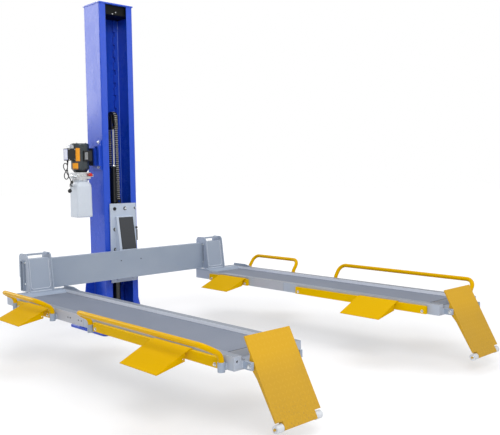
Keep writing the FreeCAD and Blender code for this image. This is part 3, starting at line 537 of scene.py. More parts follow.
def turns_of(sides):
    """Even turns of a full circle, in radians."""
    return [2 * math.pi * k / sides for k in range(sides)]


def circle(stand, radius, level, sides):
    """Ring of points about the local Z of a matrix; one side makes the middle point of an end."""
    return [stand @ Vector((radius * math.cos(t), radius * math.sin(t), level)) for t in turns_of(sides)]


def loft(bm, rings):
    """Skin rings of points one after another, with flat ends where the end rings are open."""
    made = [[bm.verts.new(p) for p in ring] for ring in rings]
    for low, high in zip(made, made[1:]):
        skin(bm, low, high)
    if len(made[0]) > 2:
        bm.faces.new(made[0])
    if len(made[-1]) > 2:
        bm.faces.new(made[-1])


def closed_loft(bm, rings):
    """Skin rings of points one after another and back to the first."""
    made = [[bm.verts.new(p) for p in ring] for ring in rings]
    for low, high in zip(made, made[1:] + made[:1]):
        skin(bm, low, high)


def lathe(bm, stand, profile, sides=28):
    """Revolve (radius, height) points about the local Z of a matrix."""
    loft(bm, [circle(stand, radius, height, sides if radius else 1) for radius, height in profile])


def hexagon_reach(turn, across):
    """Distance from the middle of a hexagon to its side, in a direction."""
    part = (turn + math.pi / 6) % (math.pi / 3) - math.pi / 6
    return across / 2 / math.cos(part)


def hex_head(bm, stand, across, height, sides=36):
    """Hexagon with the turned chamfer that bolts and nuts have on top."""
    flat = 0.47 * across
    rings = [circle(stand, 0.0, 0.0, 1)]
    for share in (0.0, 1.0):
        ring = []
        for t in turns_of(sides):
            reach = hexagon_reach(t, across)
            drop = share * (height - (reach - flat) * 0.55)
            ring.append(stand @ Vector((reach * math.cos(t), reach * math.sin(t), drop)))
        rings.append(ring)
    rings.append(circle(stand, flat, height, sides))
    rings.append(circle(stand, 0.0, height, 1))
    loft(bm, rings)


def hex_bolt(bm, at, axis, across=17.0, height=9.0, washer=15.0, thick=2.4, spin=0.3, ring=None):
    """Hexagon bolt on a flat washer, seated at a point; the washer can go to a mesh of its own."""
    stand = stand_on(at, axis, spin)
    disc = [(0, -1), (washer, -1), (washer, thick - 0.5), (washer - 0.5, thick), (0, thick)]
    lathe(ring or bm, stand, disc)
    hex_head(bm, stand @ Matrix.Translation((0, 0, thick)), across, height)


def socket_screw(bm, at, axis, radius=9.0, height=11.0):
    """Cap screw with a hexagon socket, knurled down its side."""
    stand = stand_on(at, axis)
    lathe(bm, stand, [(0, -1), (radius + 4, -1), (radius + 4, 1.6), (radius + 3.4, 2.2), (0, 2.2)])
    turns = turns_of(48)
    socket = [hexagon_reach(t, radius) for t in turns]
    outlines = []
    for reach, level in ((radius, 2.0), (radius, height - 1), (radius - 1, height)):
        knurl = [reach - (0.35 if k % 2 and level < height else 0.0) for k in range(48)]
        outlines.append((knurl, level))
    outlines += [(socket, height), (socket, height - 5)]
    rings = [circle(stand, 0.0, 2.0, 1)]
    for reaches, level in outlines:
        ring = []
        for reach, t in zip(reaches, turns):
            ring.append(stand @ Vector((reach * math.cos(t), reach * math.sin(t), level)))
        rings.append(ring)
    rings.append(circle(stand, 0.0, height - 5, 1))
    loft(bm, rings)


def weld_bead(bm, start, end, size=5.0, step=2.6, sides=10):
    """Bead of overlapping ripples along the corner between two plates."""
    a, b = Vector(start), Vector(end)
    run = (b - a).length
    stand = stand_on(a, b - a)
    rings = [circle(stand, 0.0, -size * 0.4, 1)]
    count = max(4, round(run / step))
    for i in range(count + 1):
        swell = size * (0.92 + 0.09 * (i % 2) + 0.05 * math.sin(i * 0.37))
        rings.append(circle(stand, swell, run * i / count, sides))
    rings.append(circle(stand, 0.0, run + size * 0.4, 1))
    loft(bm, rings)


def round_bar(bm, points, radius, sides=8):
    """Round bar along a line of points."""
    pts = [Vector(p) for p in points]
    rings = []
    turns = turns_of(sides)
    side = Vector(UPWARDS)
    for i, point in enumerate(pts):
        run = (pts[min(i + 1, len(pts) - 1)] - pts[max(i - 1, 0)]).normalized()
        if abs(side.dot(run)) < 0.98:
            side = (side - run * side.dot(run)).normalized()
        else:
            side = run.orthogonal().normalized()
        other = run.cross(side)
        rings.append([point + side * radius * math.cos(t) + other * radius * math.sin(t) for t in turns])
    loft(bm, rings)


def upright(x, pairs):
    """Points at one X, from pairs of Y and Z."""
    return [Vector((x, y, z)) for y, z in pairs]


def plate_between(bm, outline, thick):
    """Flat plate from a ring of points, thick along a vector."""
    loft(bm, [outline, [p + Vector(thick) for p in outline]])


def make_piece(name, bm, finish, body, bevel=0.0, smooth_to=38.0):
    """Turn finished mesh code into a piece that rides on a body."""
    bmesh.ops.recalc_face_normals(bm, faces=bm.faces[:])
    bm.transform(Matrix.Scale(MM, 4))
    mesh = bpy.data.meshes.new(name)
    bm.to_mesh(mesh)
    bm.free()
    mesh.polygons.foreach_set("use_smooth", [True] * len(mesh.polygons))
    mesh.set_sharp_from_angle(angle=math.radians(smooth_to))
    mesh.materials.append(finish)
    piece = bpy.data.objects.new(name, mesh)
    bpy.context.collection.objects.link(piece)
    if bevel:
        rounding = piece.modifiers.new("rounding", "BEVEL")
        rounding.width = bevel * MM
        rounding.segments = 2
        rounding.limit_method = "ANGLE"
        rounding.angle_limit = math.radians(40.0)
    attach(piece, body)
    return piece


# Cord of the power unit, in metres

PLUG_TOP = 1.332
CORD_R = 0.004
CORD_ROUTE = [
    (-0.455, 0.000, 1.526), (-0.455, 0.000, 1.508), (-0.457, 0.000, 1.482), (-0.462, 0.000, 1.437),
    (-0.448, 0.003, 1.402), (-0.450, 0.004, 1.378), (-0.461, 0.006, 1.362), (-0.475, 0.008, 1.361),
    (-0.486, 0.009, 1.375), (-0.488, 0.010, 1.402), (-0.466, 0.011, 1.436), (-0.450, 0.012, 1.464),
    (-0.451, 0.013, 1.486), (-0.462, 0.015, 1.501), (-0.476, 0.017, 1.502), (-0.487, 0.019, 1.489),
    (-0.487, 0.020, 1.462), (-0.464, 0.021, 1.432), (-0.446, 0.019, 1.399), (-0.433, 0.013, 1.368),
    (-0.424, 0.009, 1.350), (-0.424, 0.009, PLUG_TOP),
]


def power_cord():
    """The lead from the control box, in its two tied loops."""
    curve = bpy.data.curves.new("power_cord_line", "CURVE")
    curve.dimensions = "3D"
    curve.bevel_depth = CORD_R
    curve.bevel_resolution = 4
    curve.resolution_u = 12
    spline = curve.splines.new("NURBS")
    spline.points.add(len(CORD_ROUTE) - 1)
    for point, (x, y, z) in zip(spline.points, CORD_ROUTE):
        point.co = (x, y + UNIT_Y * MM, z, 1.0)
    spline.order_u = 3
    spline.use_endpoint_u = True
    cord = bpy.data.objects.new("flexible_lead", curve)
    bpy.context.collection.objects.link(cord)
    curve.materials.append(RUBBER)
    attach(cord, "stand")
    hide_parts("power_cord")
    return cord


def strain_relief():
    """Ribbed sleeve that tapers along the cord below the control box."""
    bm = bmesh.new()
    profile = [(0, -2), (9, -2), (9, 5)]
    for i in range(7):
        radius = 7.6 - 0.4 * i
        profile += [(radius, 6 + 4 * i), (radius, 8.4 + 4 * i), (radius - 1.2, 8.8 + 4 * i)]
    profile += [(4.6, 36), (0, 36)]
    lathe(bm, stand_on((-455, UNIT_Y, 1526), (-0.045, 0.0, -1.0)), profile)
    make_piece("lead_sleeve", bm, RUBBER, "stand")


def hank_tie():
    """Flat tie pulled round the crossing of the cord's loops, with its short tail."""
    bm = bmesh.new()
    half_x, half_y, bend = 10.0, 16.0, 8.0
    width = Vector((0.0, 0.0, 5.0))
    rings = []
    for t in turns_of(48):
        c, s = math.cos(t), math.sin(t)
        px = (half_x - bend) * (1 if c > 0 else -1) + bend * c
        py = (half_y - bend) * (1 if s > 0 else -1) + bend * s
        inner = Vector((-464 + px, UNIT_Y + 10 + py, 1435))
        outer = inner + Vector((c, s, 0.0)) * 1.4
        rings.append([inner, outer, outer + width, inner + width])
    closed_loft(bm, rings)
    tail = ((UNIT_Y - 5, 1436), (UNIT_Y - 12, 1430), (UNIT_Y - 14, 1433), (UNIT_Y - 6, 1440))
    plate_between(bm, upright(-476, tail), (1.2, 0, 0))
    make_piece("lead_tie", bm, PLASTIC, "stand")


def cord_plug():
    """Moulded plug: a ribbed neck, a waist to grip, a wide face and two round pins."""
    bm = bmesh.new()
    down = stand_on((-424, UNIT_Y + 9, 1332), (0, 0, -1))
    neck = [(0, -1), (5.6, -1), (6.2, 2), (5.6, 3.5), (6.8, 5.5), (6.2, 7), (7.6, 9), (7.2, 10.5)]
    grip = [(10.5, 15), (12.4, 19), (12.0, 27), (13.0, 34), (13.0, 37), (12.0, 38.2), (0, 38.2)]
    lathe(bm, down, neck + grip, 32)
    plug = make_piece("moulded_plug", bm, RUBBER, "stand")
    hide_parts("cord_plug")
    pins = bmesh.new()
    for off in (-5.5, 5.5):
        pin = down @ Matrix.Translation((off, 0, 0))
        lathe(pins, pin, [(0, 37), (2.2, 37), (2.2, 45), (1.2, 46), (0, 46)], 14)
    make_piece("plug_pins", pins, ZINC, "stand")
    return plug


# Post, cylinder and chain


def cap_bolts():
    """Two bolts under the head block and one at each end of the cap's left edge."""
    bm = bmesh.new()
    for x, z in ((-21, 2847), (13, 2864)):
        hex_bolt(bm, (x, BLOCK_FRONT, z), (0, -1, 0), across=8, height=4, washer=6, thick=1)
    for y in (-115, 115):
        hex_bolt(bm, (-POST_HALF_W - 5, y, POST_TOP + 6), (-1, 0, 0), across=8, height=4, washer=5, thick=1)
    make_piece("head_bolts", bm, ZINC, "stand")


def wiper_ring():
    """Bright wiper housing on the gland, with four spanner holes round it."""
    bm = bmesh.new()
    stand = stand_on((0, CYL_Y, GLAND_TOP))
    bore = ROD_R + 0.4
    profile = [(bore, 0), (27, 0), (27, 3), (23, 3.6), (23, 13), (21.5, 15), (18, 15), (bore, 12)]
    closed_loft(bm, [circle(stand, radius, height, 40) for radius, height in profile])
    for k in range(4):
        t = math.pi / 4 + math.pi / 2 * k
        out = Vector((math.cos(t), math.sin(t), 0.0))
        hole = stand_on(Vector((0, CYL_Y, GLAND_TOP + 8)) + out * 22, out)
        lathe(bm, hole, [(0, 0), (2.6, 0), (2.6, 1.6), (0, 1.6)], 12)
    make_piece("gland_ring", bm, ZINC, "stand")


def chain_line():
    """Pin centres up the front run, over the sheave and down the rear run."""
    foot = Vector((0, *CHAIN_FOOT))
    on = Vector((0, CYL_Y - CHAIN_LINE, SHEAVE_Z))
    rise = (on - foot).length
    arch = math.pi * CHAIN_LINE
    count = round((2 * rise + arch) / CHAIN_PITCH)
    pins = []
    for i in range(count + 1):
        run = i * (2 * rise + arch) / count
        if run < rise:
            pins.append(foot + (on - foot) * (run / rise))
        elif run < rise + arch:
            turn = (run - rise) / CHAIN_LINE
            back = CYL_Y - CHAIN_LINE * math.cos(turn)
            pins.append(Vector((0, back, SHEAVE_Z + CHAIN_LINE * math.sin(turn))))
        else:
            pins.append(Vector((0, CYL_Y + CHAIN_LINE, SHEAVE_Z - (run - rise - arch))))
    return pins


def link_outline(eye, half):
    """Waisted outline of a link plate, as (along, across) points round both pins."""
    right = []
    for k in range(7):
        t = math.radians(-75 + 25 * k)
        right.append((eye + 0.93 * half * math.cos(t), 0.93 * half * math.sin(t)))
    left = [(-u, v) for u, v in reversed(right)]
    return right + [(0, half * 0.5)] + left + [(0, -half * 0.5)]


def chain_lanes(bm, pins, first, lanes, lane):
    """Every second link, one plate in every second lane."""
    for i in range(first, len(pins) - 1, 2):
        a, b = pins[i], pins[i + 1]
        run = (b - a).normalized()
        across = Vector((0, -run.z, run.y))
        outline = link_outline((b - a).length / 2, CHAIN_T / 2)
        for k in range(first, lanes, 2):
            shift = Vector((-CHAIN_W / 2 + k * lane + 0.5, 0, 0))
            points = [(a + b) / 2 + run * u + across * v + shift for u, v in outline]
            plate_between(bm, points, (lane - 1.0, 0, 0))


def lift_chain():
    """Leaf chain: outer links of five plates laced with inner ones of four on riveted pins."""
    pins = chain_line()
    lanes = 9
    lane = CHAIN_W / lanes
    bright = bmesh.new()
    chain_lanes(bright, pins, 0, lanes, lane)
    rivet = [(0, -0.9), (2.1, -0.9), (2.9, -0.1)]
    rivet += [(radius, CHAIN_W - height) for radius, height in reversed(rivet)]
    for pin in pins:
        lathe(bright, stand_on(pin - Vector((CHAIN_W / 2, 0, 0)), SIDEWAYS), rivet, 10)
    outer = make_piece("leaf_chain_outer_links", bright, CHAIN_STEEL, "rod")
    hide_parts("lift_chain")
    laced = bmesh.new()
    chain_lanes(laced, pins, 1, lanes, lane)
    make_piece("leaf_chain_inner_links", laced, CHAIN_STEEL, "rod")


def chain_end():
    """Clevis on the chain's front end, with the stud and nut that take it behind the carriage plate."""
    bm = bmesh.new()
    y, z = CHAIN_FOOT
    for x in (-CHAIN_W / 2 - 4.5, CHAIN_W / 2 + 1.0):
        pairs = [(y + 9 * math.cos(t), z + 9 * math.sin(t)) for t in turns_of(16)[:9]]
        outline = upright(x, pairs + [(y - 9, z - 26), (y + 9, z - 26)])
        plate_between(bm, outline, (3.5, 0, 0))
    foot = []
    for u, v in ((-1, -1), (1, -1), (1, 1), (-1, 1)):
        foot.append(Vector((u * (CHAIN_W / 2 + 4.5), y + v * 9, z - 26)))
    plate_between(bm, foot, (0, 0, -10))
    lathe(bm, stand_on((0, y, z - 34), (0, 0, -1)), [(0, 0), (7, 0), (7, 30), (6, 31), (0, 31)], 24)
    hex_head(bm, stand_on((0, y, z - 36), (0, 0, -1)), 22, 11)
    pin = [(0, 0), (4.4, 0), (4.4, CHAIN_W + 12), (0, CHAIN_W + 12)]
    lathe(bm, stand_on((-CHAIN_W / 2 - 6, y, z), SIDEWAYS), pin, 16)
    make_piece("chain_clevis", bm, BLACK, "rod", bevel=0.8)


def rack_bead():
    """Long bead where the latch rack meets the wall of the post, painted pale blue as a highlight."""
    bm = bmesh.new()
    round_bar(bm, [(161.5, 101, 330), (161.5, 101, 1500), (161.5, 101, 2838)], 3.2, 10)
    make_piece("rack_bead", bm, RACK_HIGHLIGHT, "stand")


def foot_gussets():
    """One cranked gusset on each side of the post, and two small ones behind it."""
    bm = bmesh.new()
    front, rear = GUSSET_Y
    cranked = [(0, BASE_TOP), (168, BASE_TOP), (168, 60), (99, 325), (82, 460), (0, 640)]
    for side in (-1, 1):
        outline = [Vector((side * (POST_HALF_W + out), front, z)) for out, z in cranked]
        plate_between(bm, outline, (0, rear - front, 0))
    foot = ((-POST_FRONT, BASE_TOP), (40 - POST_FRONT, BASE_TOP), (-POST_FRONT, 260))
    for x in (-90, 80):
        plate_between(bm, upright(x, foot), (10, 0, 0))
    gussets = make_piece("post_gussets", bm, BLUE, "stand", bevel=1.2)
    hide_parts("foot_gussets")


def foot_welds():
    """Beads down the gussets, and round the foot of the post."""
    bm = bmesh.new()
    for side in (-1, 1):
        wall = side * POST_HALF_W
        for y in GUSSET_Y:
            weld_bead(bm, (wall, y, 26), (wall, y, 630), 4.5)
            weld_bead(bm, (wall + side * 160, y, BASE_TOP), (wall + side * 6, y, BASE_TOP), 4.5)
        weld_bead(bm, (wall, -126, BASE_TOP), (wall, 126, BASE_TOP), 5.0)
        weld_bead(bm, (side * 165, POST_FRONT, BASE_TOP), (side * 112, POST_FRONT, BASE_TOP), 4.5)
    weld_bead(bm, (-165, -POST_FRONT, BASE_TOP), (165, -POST_FRONT, BASE_TOP), 5.0)
    make_piece("foot_weld_beads", bm, BLUE, "stand")


# Power unit


def unit_bolts():
    """Zinc bolts through the power unit's bracket into the post."""
    bm = bmesh.new()
    for y, z in ((-76, 1690), (-72, 1463)):
        hex_bolt(bm, (UNIT_PLATE_X, y, z), (-1, 0, 0), across=17, height=10, washer=14)
    make_piece("unit_bolts", bm, ZINC, "stand")


def motor_trim():
    """End ring joints of the motor and the four nuts of its tie bolts."""
    bm = bmesh.new()
    for z in (1455, 1640):
        stand = stand_on((UNIT_X, UNIT_Y, z))
        outline = ((-2, 0), (1.2, 0), (1.8, 1.5), (1.2, 3), (-2, 3))
        closed_loft(bm, [circle(stand, MOTOR_R + proud, height, 72) for proud, height in outline])
    for k in range(4):
        t = math.radians(35 + 90 * k)
        at = (UNIT_X + 58 * math.cos(t), UNIT_Y + 58 * math.sin(t), 1678)
        hex_bolt(bm, at, (0, 0, 1), across=8, height=4, washer=7, thick=1)
    make_piece("motor_bands", bm, MOTOR, "stand")


def bent_label(bm, start, end, z0, z1, radius, lift, corner=5.0, columns=18):
    """Thin label that follows the motor's round side between two angles in degrees."""
    width = math.radians(end - start) * radius
    rings = []
    for i in range(columns + 1):
        s = width * i / columns
        near = min(s, width - s)
        inset = 0.0 if near > corner else corner - math.sqrt(max(corner ** 2 - (corner - near) ** 2, 0.0))
        t = math.radians(start) + s / radius
        out = Vector((math.cos(t), math.sin(t), 0.0))
        ring = []
        for height, rise in ((z0 + inset, -1.0), (z0 + inset, lift), (z1 - inset, lift), (z1 - inset, -1.0)):
            ring.append(Vector((UNIT_X, UNIT_Y, height)) + out * (radius + rise))
        rings.append(ring)
    loft(bm, rings)


def motor_labels():
    """Two bare orange labels, each with a darker border."""
    for name, start, end, z0, z1 in (("upper", -148, -119, 1518, 1637), ("lower", -176, -131, 1448, 1505)):
        rim = bmesh.new()
        bent_label(rim, start, end, z0, z1, MOTOR_R, 0.5)
        make_piece(name + "_label_border", rim, LABEL_FRAME, "stand")
        face = bmesh.new()
        bent_label(face, start + 2.2, end - 2.2, z0 + 3, z1 - 3, MOTOR_R, 0.9, 3.0)
        make_piece(name + "_label_face", face, LABEL, "stand")


def flat_label(bm, x, y0, y1, z0, z1, thick, corner):
    """Thin plate with rounded corners on a face that looks to -X."""
    points = []
    for cy, cz, first in ((y1 - corner, z1 - corner, 0), (y0 + corner, z1 - corner, 90),
                          (y0 + corner, z0 + corner, 180), (y1 - corner, z0 + corner, 270)):
        for k in range(6):
            t = math.radians(first + 18 * k)
            points.append(Vector((x, cy + corner * math.cos(t), cz + corner * math.sin(t))))
    plate_between(bm, points, (-thick, 0, 0))


def box_label():
    """Bare pale label on the control box, framed with a thin blue line."""
    rim = bmesh.new()
    flat_label(rim, BOX_FACE_X, UNIT_Y - 34, UNIT_Y + 35, 1532, 1627, 0.6, 6.0)
    make_piece("box_label_border", rim, PALE_FRAME, "stand")
    face = bmesh.new()
    flat_label(face, BOX_FACE_X, UNIT_Y - 31, UNIT_Y + 32, 1535, 1624, 0.9, 4.0)
    make_piece("box_label_face", face, PALE_LABEL, "stand")


def box_screws():
    """Cross recessed lid screws on the front of the control box."""
    bm = bmesh.new()
    for x, z in ((-462, 1536), (-462, 1623), (-406, 1536), (-406, 1623)):
        stand = stand_on((x, UNIT_Y - 41, z), (0, -1, 0))
        lathe(bm, stand, [(0, -1), (3.4, -1), (3.4, 0.6), (2.2, 1.6), (0, 1.8)], 18)
    make_piece("box_screws", bm, ZINC, "stand")


def side_box_trim():
    """Lid and cast fins on the side box of the motor."""
    cover = bmesh.new()
    rings = []
    for y, draw in ((UNIT_Y - 78, 0), (UNIT_Y - 98, 0), (UNIT_Y - 101, 3)):
        x0, x1, z0, z1 = UNIT_X - 15 + draw, UNIT_X + 40 - draw, 1520 + draw, 1611 - draw
        rings.append([Vector((x0, y, z0)), Vector((x1, y, z0)), Vector((x1, y, z1)), Vector((x0, y, z1))])
    loft(cover, rings)
    make_piece("side_box_lid", cover, PLASTIC, "stand", bevel=2.0)
    bm = bmesh.new()
    for i in range(7):
        x = UNIT_X - 8 + 4.4 * i
        fin = ((UNIT_Y - 99, 1530), (UNIT_Y - 103, 1534), (UNIT_Y - 103, 1596), (UNIT_Y - 99, 1600))
        plate_between(bm, upright(x, fin), (2.0, 0, 0))
    make_piece("side_box_fins", bm, ALUMINIUM, "stand", bevel=0.4)


def arched_plate(bm, x, thick, half, top, shoulder):
    """Upright plate across the control box, with its two upper corners cut off."""
    left = [(-half, 1632), (-half, shoulder), (7 - half, top)]
    right = [(-away, z) for away, z in reversed(left)]
    outline = upright(x, [(UNIT_Y - 3 + away, z) for away, z in left + right])
    plate_between(bm, outline, (thick, 0, 0))


def box_cover():
    """Ribbed cover on top of the control box."""
    ribs = bmesh.new()
    for i in range(9):
        arched_plate(ribs, -450 + 5.4 * i, 3.0, 27, 1664, 1656)
    arched_plate(ribs, -448.5, 43.0, 24, 1660, 1655)
    make_piece("ribbed_box_cover", ribs, ALUMINIUM, "stand", bevel=0.5)


def pump_fittings():
    """Plugs and unions on the pump block, and the clamp screws round the tank's neck."""
    bright = bmesh.new()
    left = UNIT_X - 74
    for y, z, across in ((UNIT_Y - 30, 1384, 19.0), (UNIT_Y + 28, 1388, 22.0)):
        hex_bolt(bright, (left, y, z), (-1, 0, 0), across, 9, across * 0.66, 2)
    for x, across in ((-388, 24.0), (-352, 17.0), (-316, 17.0)):
        hex_bolt(bright, (x, UNIT_Y - 62, 1391), (0, -1, 0), across, 8, across * 0.64, 2)
    for k in range(6):
        t = math.radians(-165 + 60 * k)
        at = (UNIT_X + 66 * math.cos(t), UNIT_Y + 66 * math.sin(t), PUMP_FOOT)
        socket_screw(bright, at, (0, 0, -1), radius=4.5, height=8)
    make_piece("pump_fittings", bright, ZINC, "stand")
    ring = bmesh.new()
    rim = [(0, 0), (70, 0), (71, 1), (71, 9), (70, 10), (0, 10)]
    lathe(ring, stand_on((UNIT_X, UNIT_Y, PUMP_FOOT)), rim, 64)
    make_piece("tank_flange", ring, ALUMINIUM, "stand")
    dark = bmesh.new()
    socket_screw(dark, (UNIT_X + 82, UNIT_Y - 58, 1392), (0, -1, 0), radius=5.5, height=5)
    make_piece("pump_plug", dark, BLACK, "stand")


def lever_grip():
    """Black collar part way down the lowering lever."""
    bm = bmesh.new()
    lathe(bm, stand_on((-430.5, LEVER_Y, 1345), -LEVER_RISE),
          [(0, -2), (8.5, -2), (9.5, 0), (9.5, 22), (8.0, 25), (5.5, 26), (0, 26)])
    make_piece("lever_collar", bm, PLASTIC, "stand")


def lever_ball():
    """Moulded ball on the lever's end, with its parting line and a short neck."""
    bm = bmesh.new()
    radius = 17.5
    profile = [(0, -radius)]
    for k in range(1, 12):
        t = math.radians(-90 + 14 * k)
        profile.append((radius * math.cos(t), radius * math.sin(t)))
        if k == 6:
            profile += [(radius + 0.35, 0), (radius, 1.0)]
    profile += [(8.0, 17.6), (7.4, 19), (5.4, 19.5), (0, 19.5)]
    lathe(bm, stand_on((-459, LEVER_Y, 1257), LEVER_RISE), profile, 36)
    make_piece("lever_ball", bm, PLASTIC, "stand")


def filler_cap():
    """Cap on the rear shoulder of the tank, with grips round it."""
    bm = bmesh.new()
    stand = stand_on((UNIT_X + 48, UNIT_Y + 48, 1324), (0.45, 0.45, 1.0))
    lathe(bm, stand, [(0, -6), (13, -6), (13, 2), (15, 3), (15, 12), (13.5, 14), (0, 14)], 24)
    for t in turns_of(12):
        grip = stand @ Matrix.Translation((15 * math.cos(t), 15 * math.sin(t), 3.5))
        lathe(bm, grip, [(0, 0), (1.4, 0), (1.4, 8), (0, 8)], 8)
    make_piece("filler_cap", bm, PLASTIC, "stand")


# Carriage, beam and brackets


def carriage_bolts():
    """Bolts through the carriage plate, on black washers that paint the shadow ring round each head; the top
    left one is a black cap screw.
    """
    bright = bmesh.new()
    rings = bmesh.new()
    small = (139, 1085, 13, 10.5)
    for x, z, across, washer in ((31, 1085, 20, 17), small, (-80, 896, 20, 17), (-80, 712, 20, 17)):
        hex_bolt(bright, (x, CARR_FRONT, z), (0, -1, 0), across, 11, washer, ring=rings)
    make_piece("carriage_bolts", bright, ZINC, "lift")
    make_piece("carriage_washers_painted_shadow", rings, BLACK, "lift")
    dark = bmesh.new()
    socket_screw(dark, (-79, CARR_FRONT, 1085), (0, -1, 0), radius=12, height=13)
    make_piece("carriage_cap_screw", dark, BLACK, "lift")


def bracket_bolts():
    """Clamp bolts across the slots of the hooked brackets, drawn up against the beam."""
    bm = bmesh.new()
    for side in (-1, 1):
        for x in (BRACKET_X - BRACKET_HALF + 5, BRACKET_X + BRACKET_HALF - 5):
            for z in CLAMP_Z:
                stand = stand_on((side * x, BEAM_FRONT - 18, z), (0, -1, 0))
                lathe(bm, stand, [(0, -17), (4, -17), (4, 0), (0, 0)], 14)
    for side in (-1, 1):
        for x in (BRACKET_X - BRACKET_HALF - 1.0, BRACKET_X + BRACKET_HALF + 1.0):
            for z in CLAMP_Z:
                out = side * (1 if x > BRACKET_X else -1)
                hex_bolt(bm, (side * x, BEAM_FRONT - 11, z), (out, 0, 0), 10, 6, 9, 1.5)
    make_piece("bracket_bolts", bm, ZINC, "lift")


def leaning_point(side, x, z):
    """A point on the leaning front plate of a bracket."""
    share = (z - DECK_EDGE_Z) / LEAN_HIGH
    return Vector((side * x, LEAN_FOOT_Y + LEAN_BACK * share, z))


def bracket_frames():
    """Weld beads at the cheeks, and the pressed rim that runs round each leaning front plate, all in a pale
    grey that paints their highlights.
    """
    bm = bmesh.new()
    inner = BRACKET_X - BRACKET_HALF + CHEEK_T
    outer = BRACKET_X + BRACKET_HALF - CHEEK_T
    for side in (-1, 1):
        for x in (inner, outer):
            weld_bead(bm, leaning_point(side, x, 466), leaning_point(side, x, 722), 3.2, 3.0, 8)
        weld_bead(bm, leaning_point(side, inner, 464), leaning_point(side, outer, 464), 3.6, 3.0, 8)
        for x in (BRACKET_X - BRACKET_HALF, BRACKET_X + BRACKET_HALF):
            weld_bead(bm, (side * x, -385, DECK_EDGE_Z), (side * x, -312, DECK_EDGE_Z), 3.6, 3.0, 8)
        line = [leaning_point(side, inner + 13, 719)]
        for centre, first in ((inner + 35, 180), (outer - 35, 270)):
            for k in range(7):
                t = math.radians(first + 15 * k)
                line.append(leaning_point(side, centre + 22 * math.cos(t), 505 + 22 * math.sin(t)))
        line.append(leaning_point(side, outer - 13, 719))
        round_bar(bm, line, 3.4)
    make_piece("bracket_rims", bm, RIM_HIGHLIGHT, "lift")


def carriage_welds():
    """Beads where the sloping housing meets the plate and the beam."""
    bm = bmesh.new()
    for x in (-77.0, 98.0):
        weld_bead(bm, (x, CARR_FRONT, 726), (x, CARR_FRONT, 1006), 3.6, 3.0, 8)
    weld_bead(bm, (-73, CARR_FRONT, 1012), (94, CARR_FRONT, 1012), 3.6, 3.0, 8)
    weld_bead(bm, (-74, BEAM_REAR, BEAM_TOP), (95, BEAM_REAR, BEAM_TOP), 4.0, 3.0, 8)
    make_piece("carriage_weld_beads", bm, LIT_PLATE, "lift")


def hole_shade_cups(name, places, axis):
    """Black cups pressed into small open holes, their black a painted shade inside the holes."""
    bm = bmesh.new()
    wall = [(0, -6), (3.8, -6), (3.8, 0.1)]
    cup = wall + [(5.2, 0.1), (5.2, 0.7), (4.6, 1.0), (3.2, 1.0), (3.2, -5), (0, -5)]
    for at in places:
        lathe(bm, stand_on(at, axis), cup, 20)
    make_piece(name, bm, PLASTIC, "lift")


# Runways and ramps


def bar_bolts():
    """Bolts near the ends of each side bar, into the runway's rails."""
    bm = bmesh.new()
    for side in (-1, 1):
        for face, out in ((RUN_OUT + BAR_FACE, 1), (RUN_IN - BAR_FACE, -1)):
            for y0, y1 in (REAR_BAR, FRONT_BAR):
                for y in (y0 + 30, y1 - 30):
                    hex_bolt(bm, (side * face, y, BAR_BOLT_Z), (side * out, 0, 0), 13, 7, 11, 2)
    make_piece("bar_bolts", bm, ZINC, "lift")


def hinge_bolts():
    """Heads on both ends of the end ramps' hinge pins."""
    bm = bmesh.new()
    for side in (-1, 1):
        for out in (-1, 1):
            at = (side * RUN_MID + out * EAR_OUT, HINGE_Y, HINGE_Z)
            hex_bolt(bm, at, (out, 0, 0), 19, 8, 14, 2)
    make_piece("hinge_bolts", bm, ZINC, "lift")


def runway_welds():
    """Beads at the sockets' tabs, the rear shelves and the hinge ears."""
    bm = bmesh.new()
    for side in (-1, 1):
        for middle in SOCKET_Y:
            for y in (middle - 12, middle + 12):
                weld_bead(bm, (side * RUN_OUT, y, 388), (side * RUN_OUT, y, 421), 3.4, 2.6, 8)
        shelf = [(side * x, -357, DECK_EDGE_Z) for x in (RUN_IN + RAIL_W, RUN_OUT - RAIL_W)]
        weld_bead(bm, shelf[0], shelf[1], 3.6, 3.0, 8)
        for out in (-1, 1):
            x = side * RUN_MID + out * (EAR_OUT - 8)
            for edge in (-8, 8):
                weld_bead(bm, (x + edge, RUN_FRONT, 394), (x + edge, RUN_FRONT, 432), 3.2, 2.6, 8)
    make_piece("runway_weld_beads", bm, RAIL, "lift")


def ramp_point(x, out, rise):
    """A point of a hanging end ramp, from its distance past the hinge and above the hinge's height."""
    y = -out * math.cos(RAMP_DROP) - rise * math.sin(RAMP_DROP)
    z = -out * math.sin(RAMP_DROP) + rise * math.cos(RAMP_DROP)
    return Vector((x, HINGE_Y + y, HINGE_Z + z))


def roller_caps(side, body):
    """Turned shoulders and snap rings that keep the rollers on the ramp's axle."""
    bm = bmesh.new()
    for out in (-1, 1):
        at = ramp_point(side * RUN_MID + out * (RAMP_HALF + 1.5), AXLE_OUT, -AXLE_LOW)
        stand = stand_on(at, (out, 0, 0))
        lathe(bm, stand, [(0, -1), (11, -1), (11, 0.8), (10, 1.6), (7.4, 1.6), (0, 1.6)], 28)
    make_piece("near_axle_rings" if side < 0 else "far_axle_rings", bm, ZINC, body)


# Studio


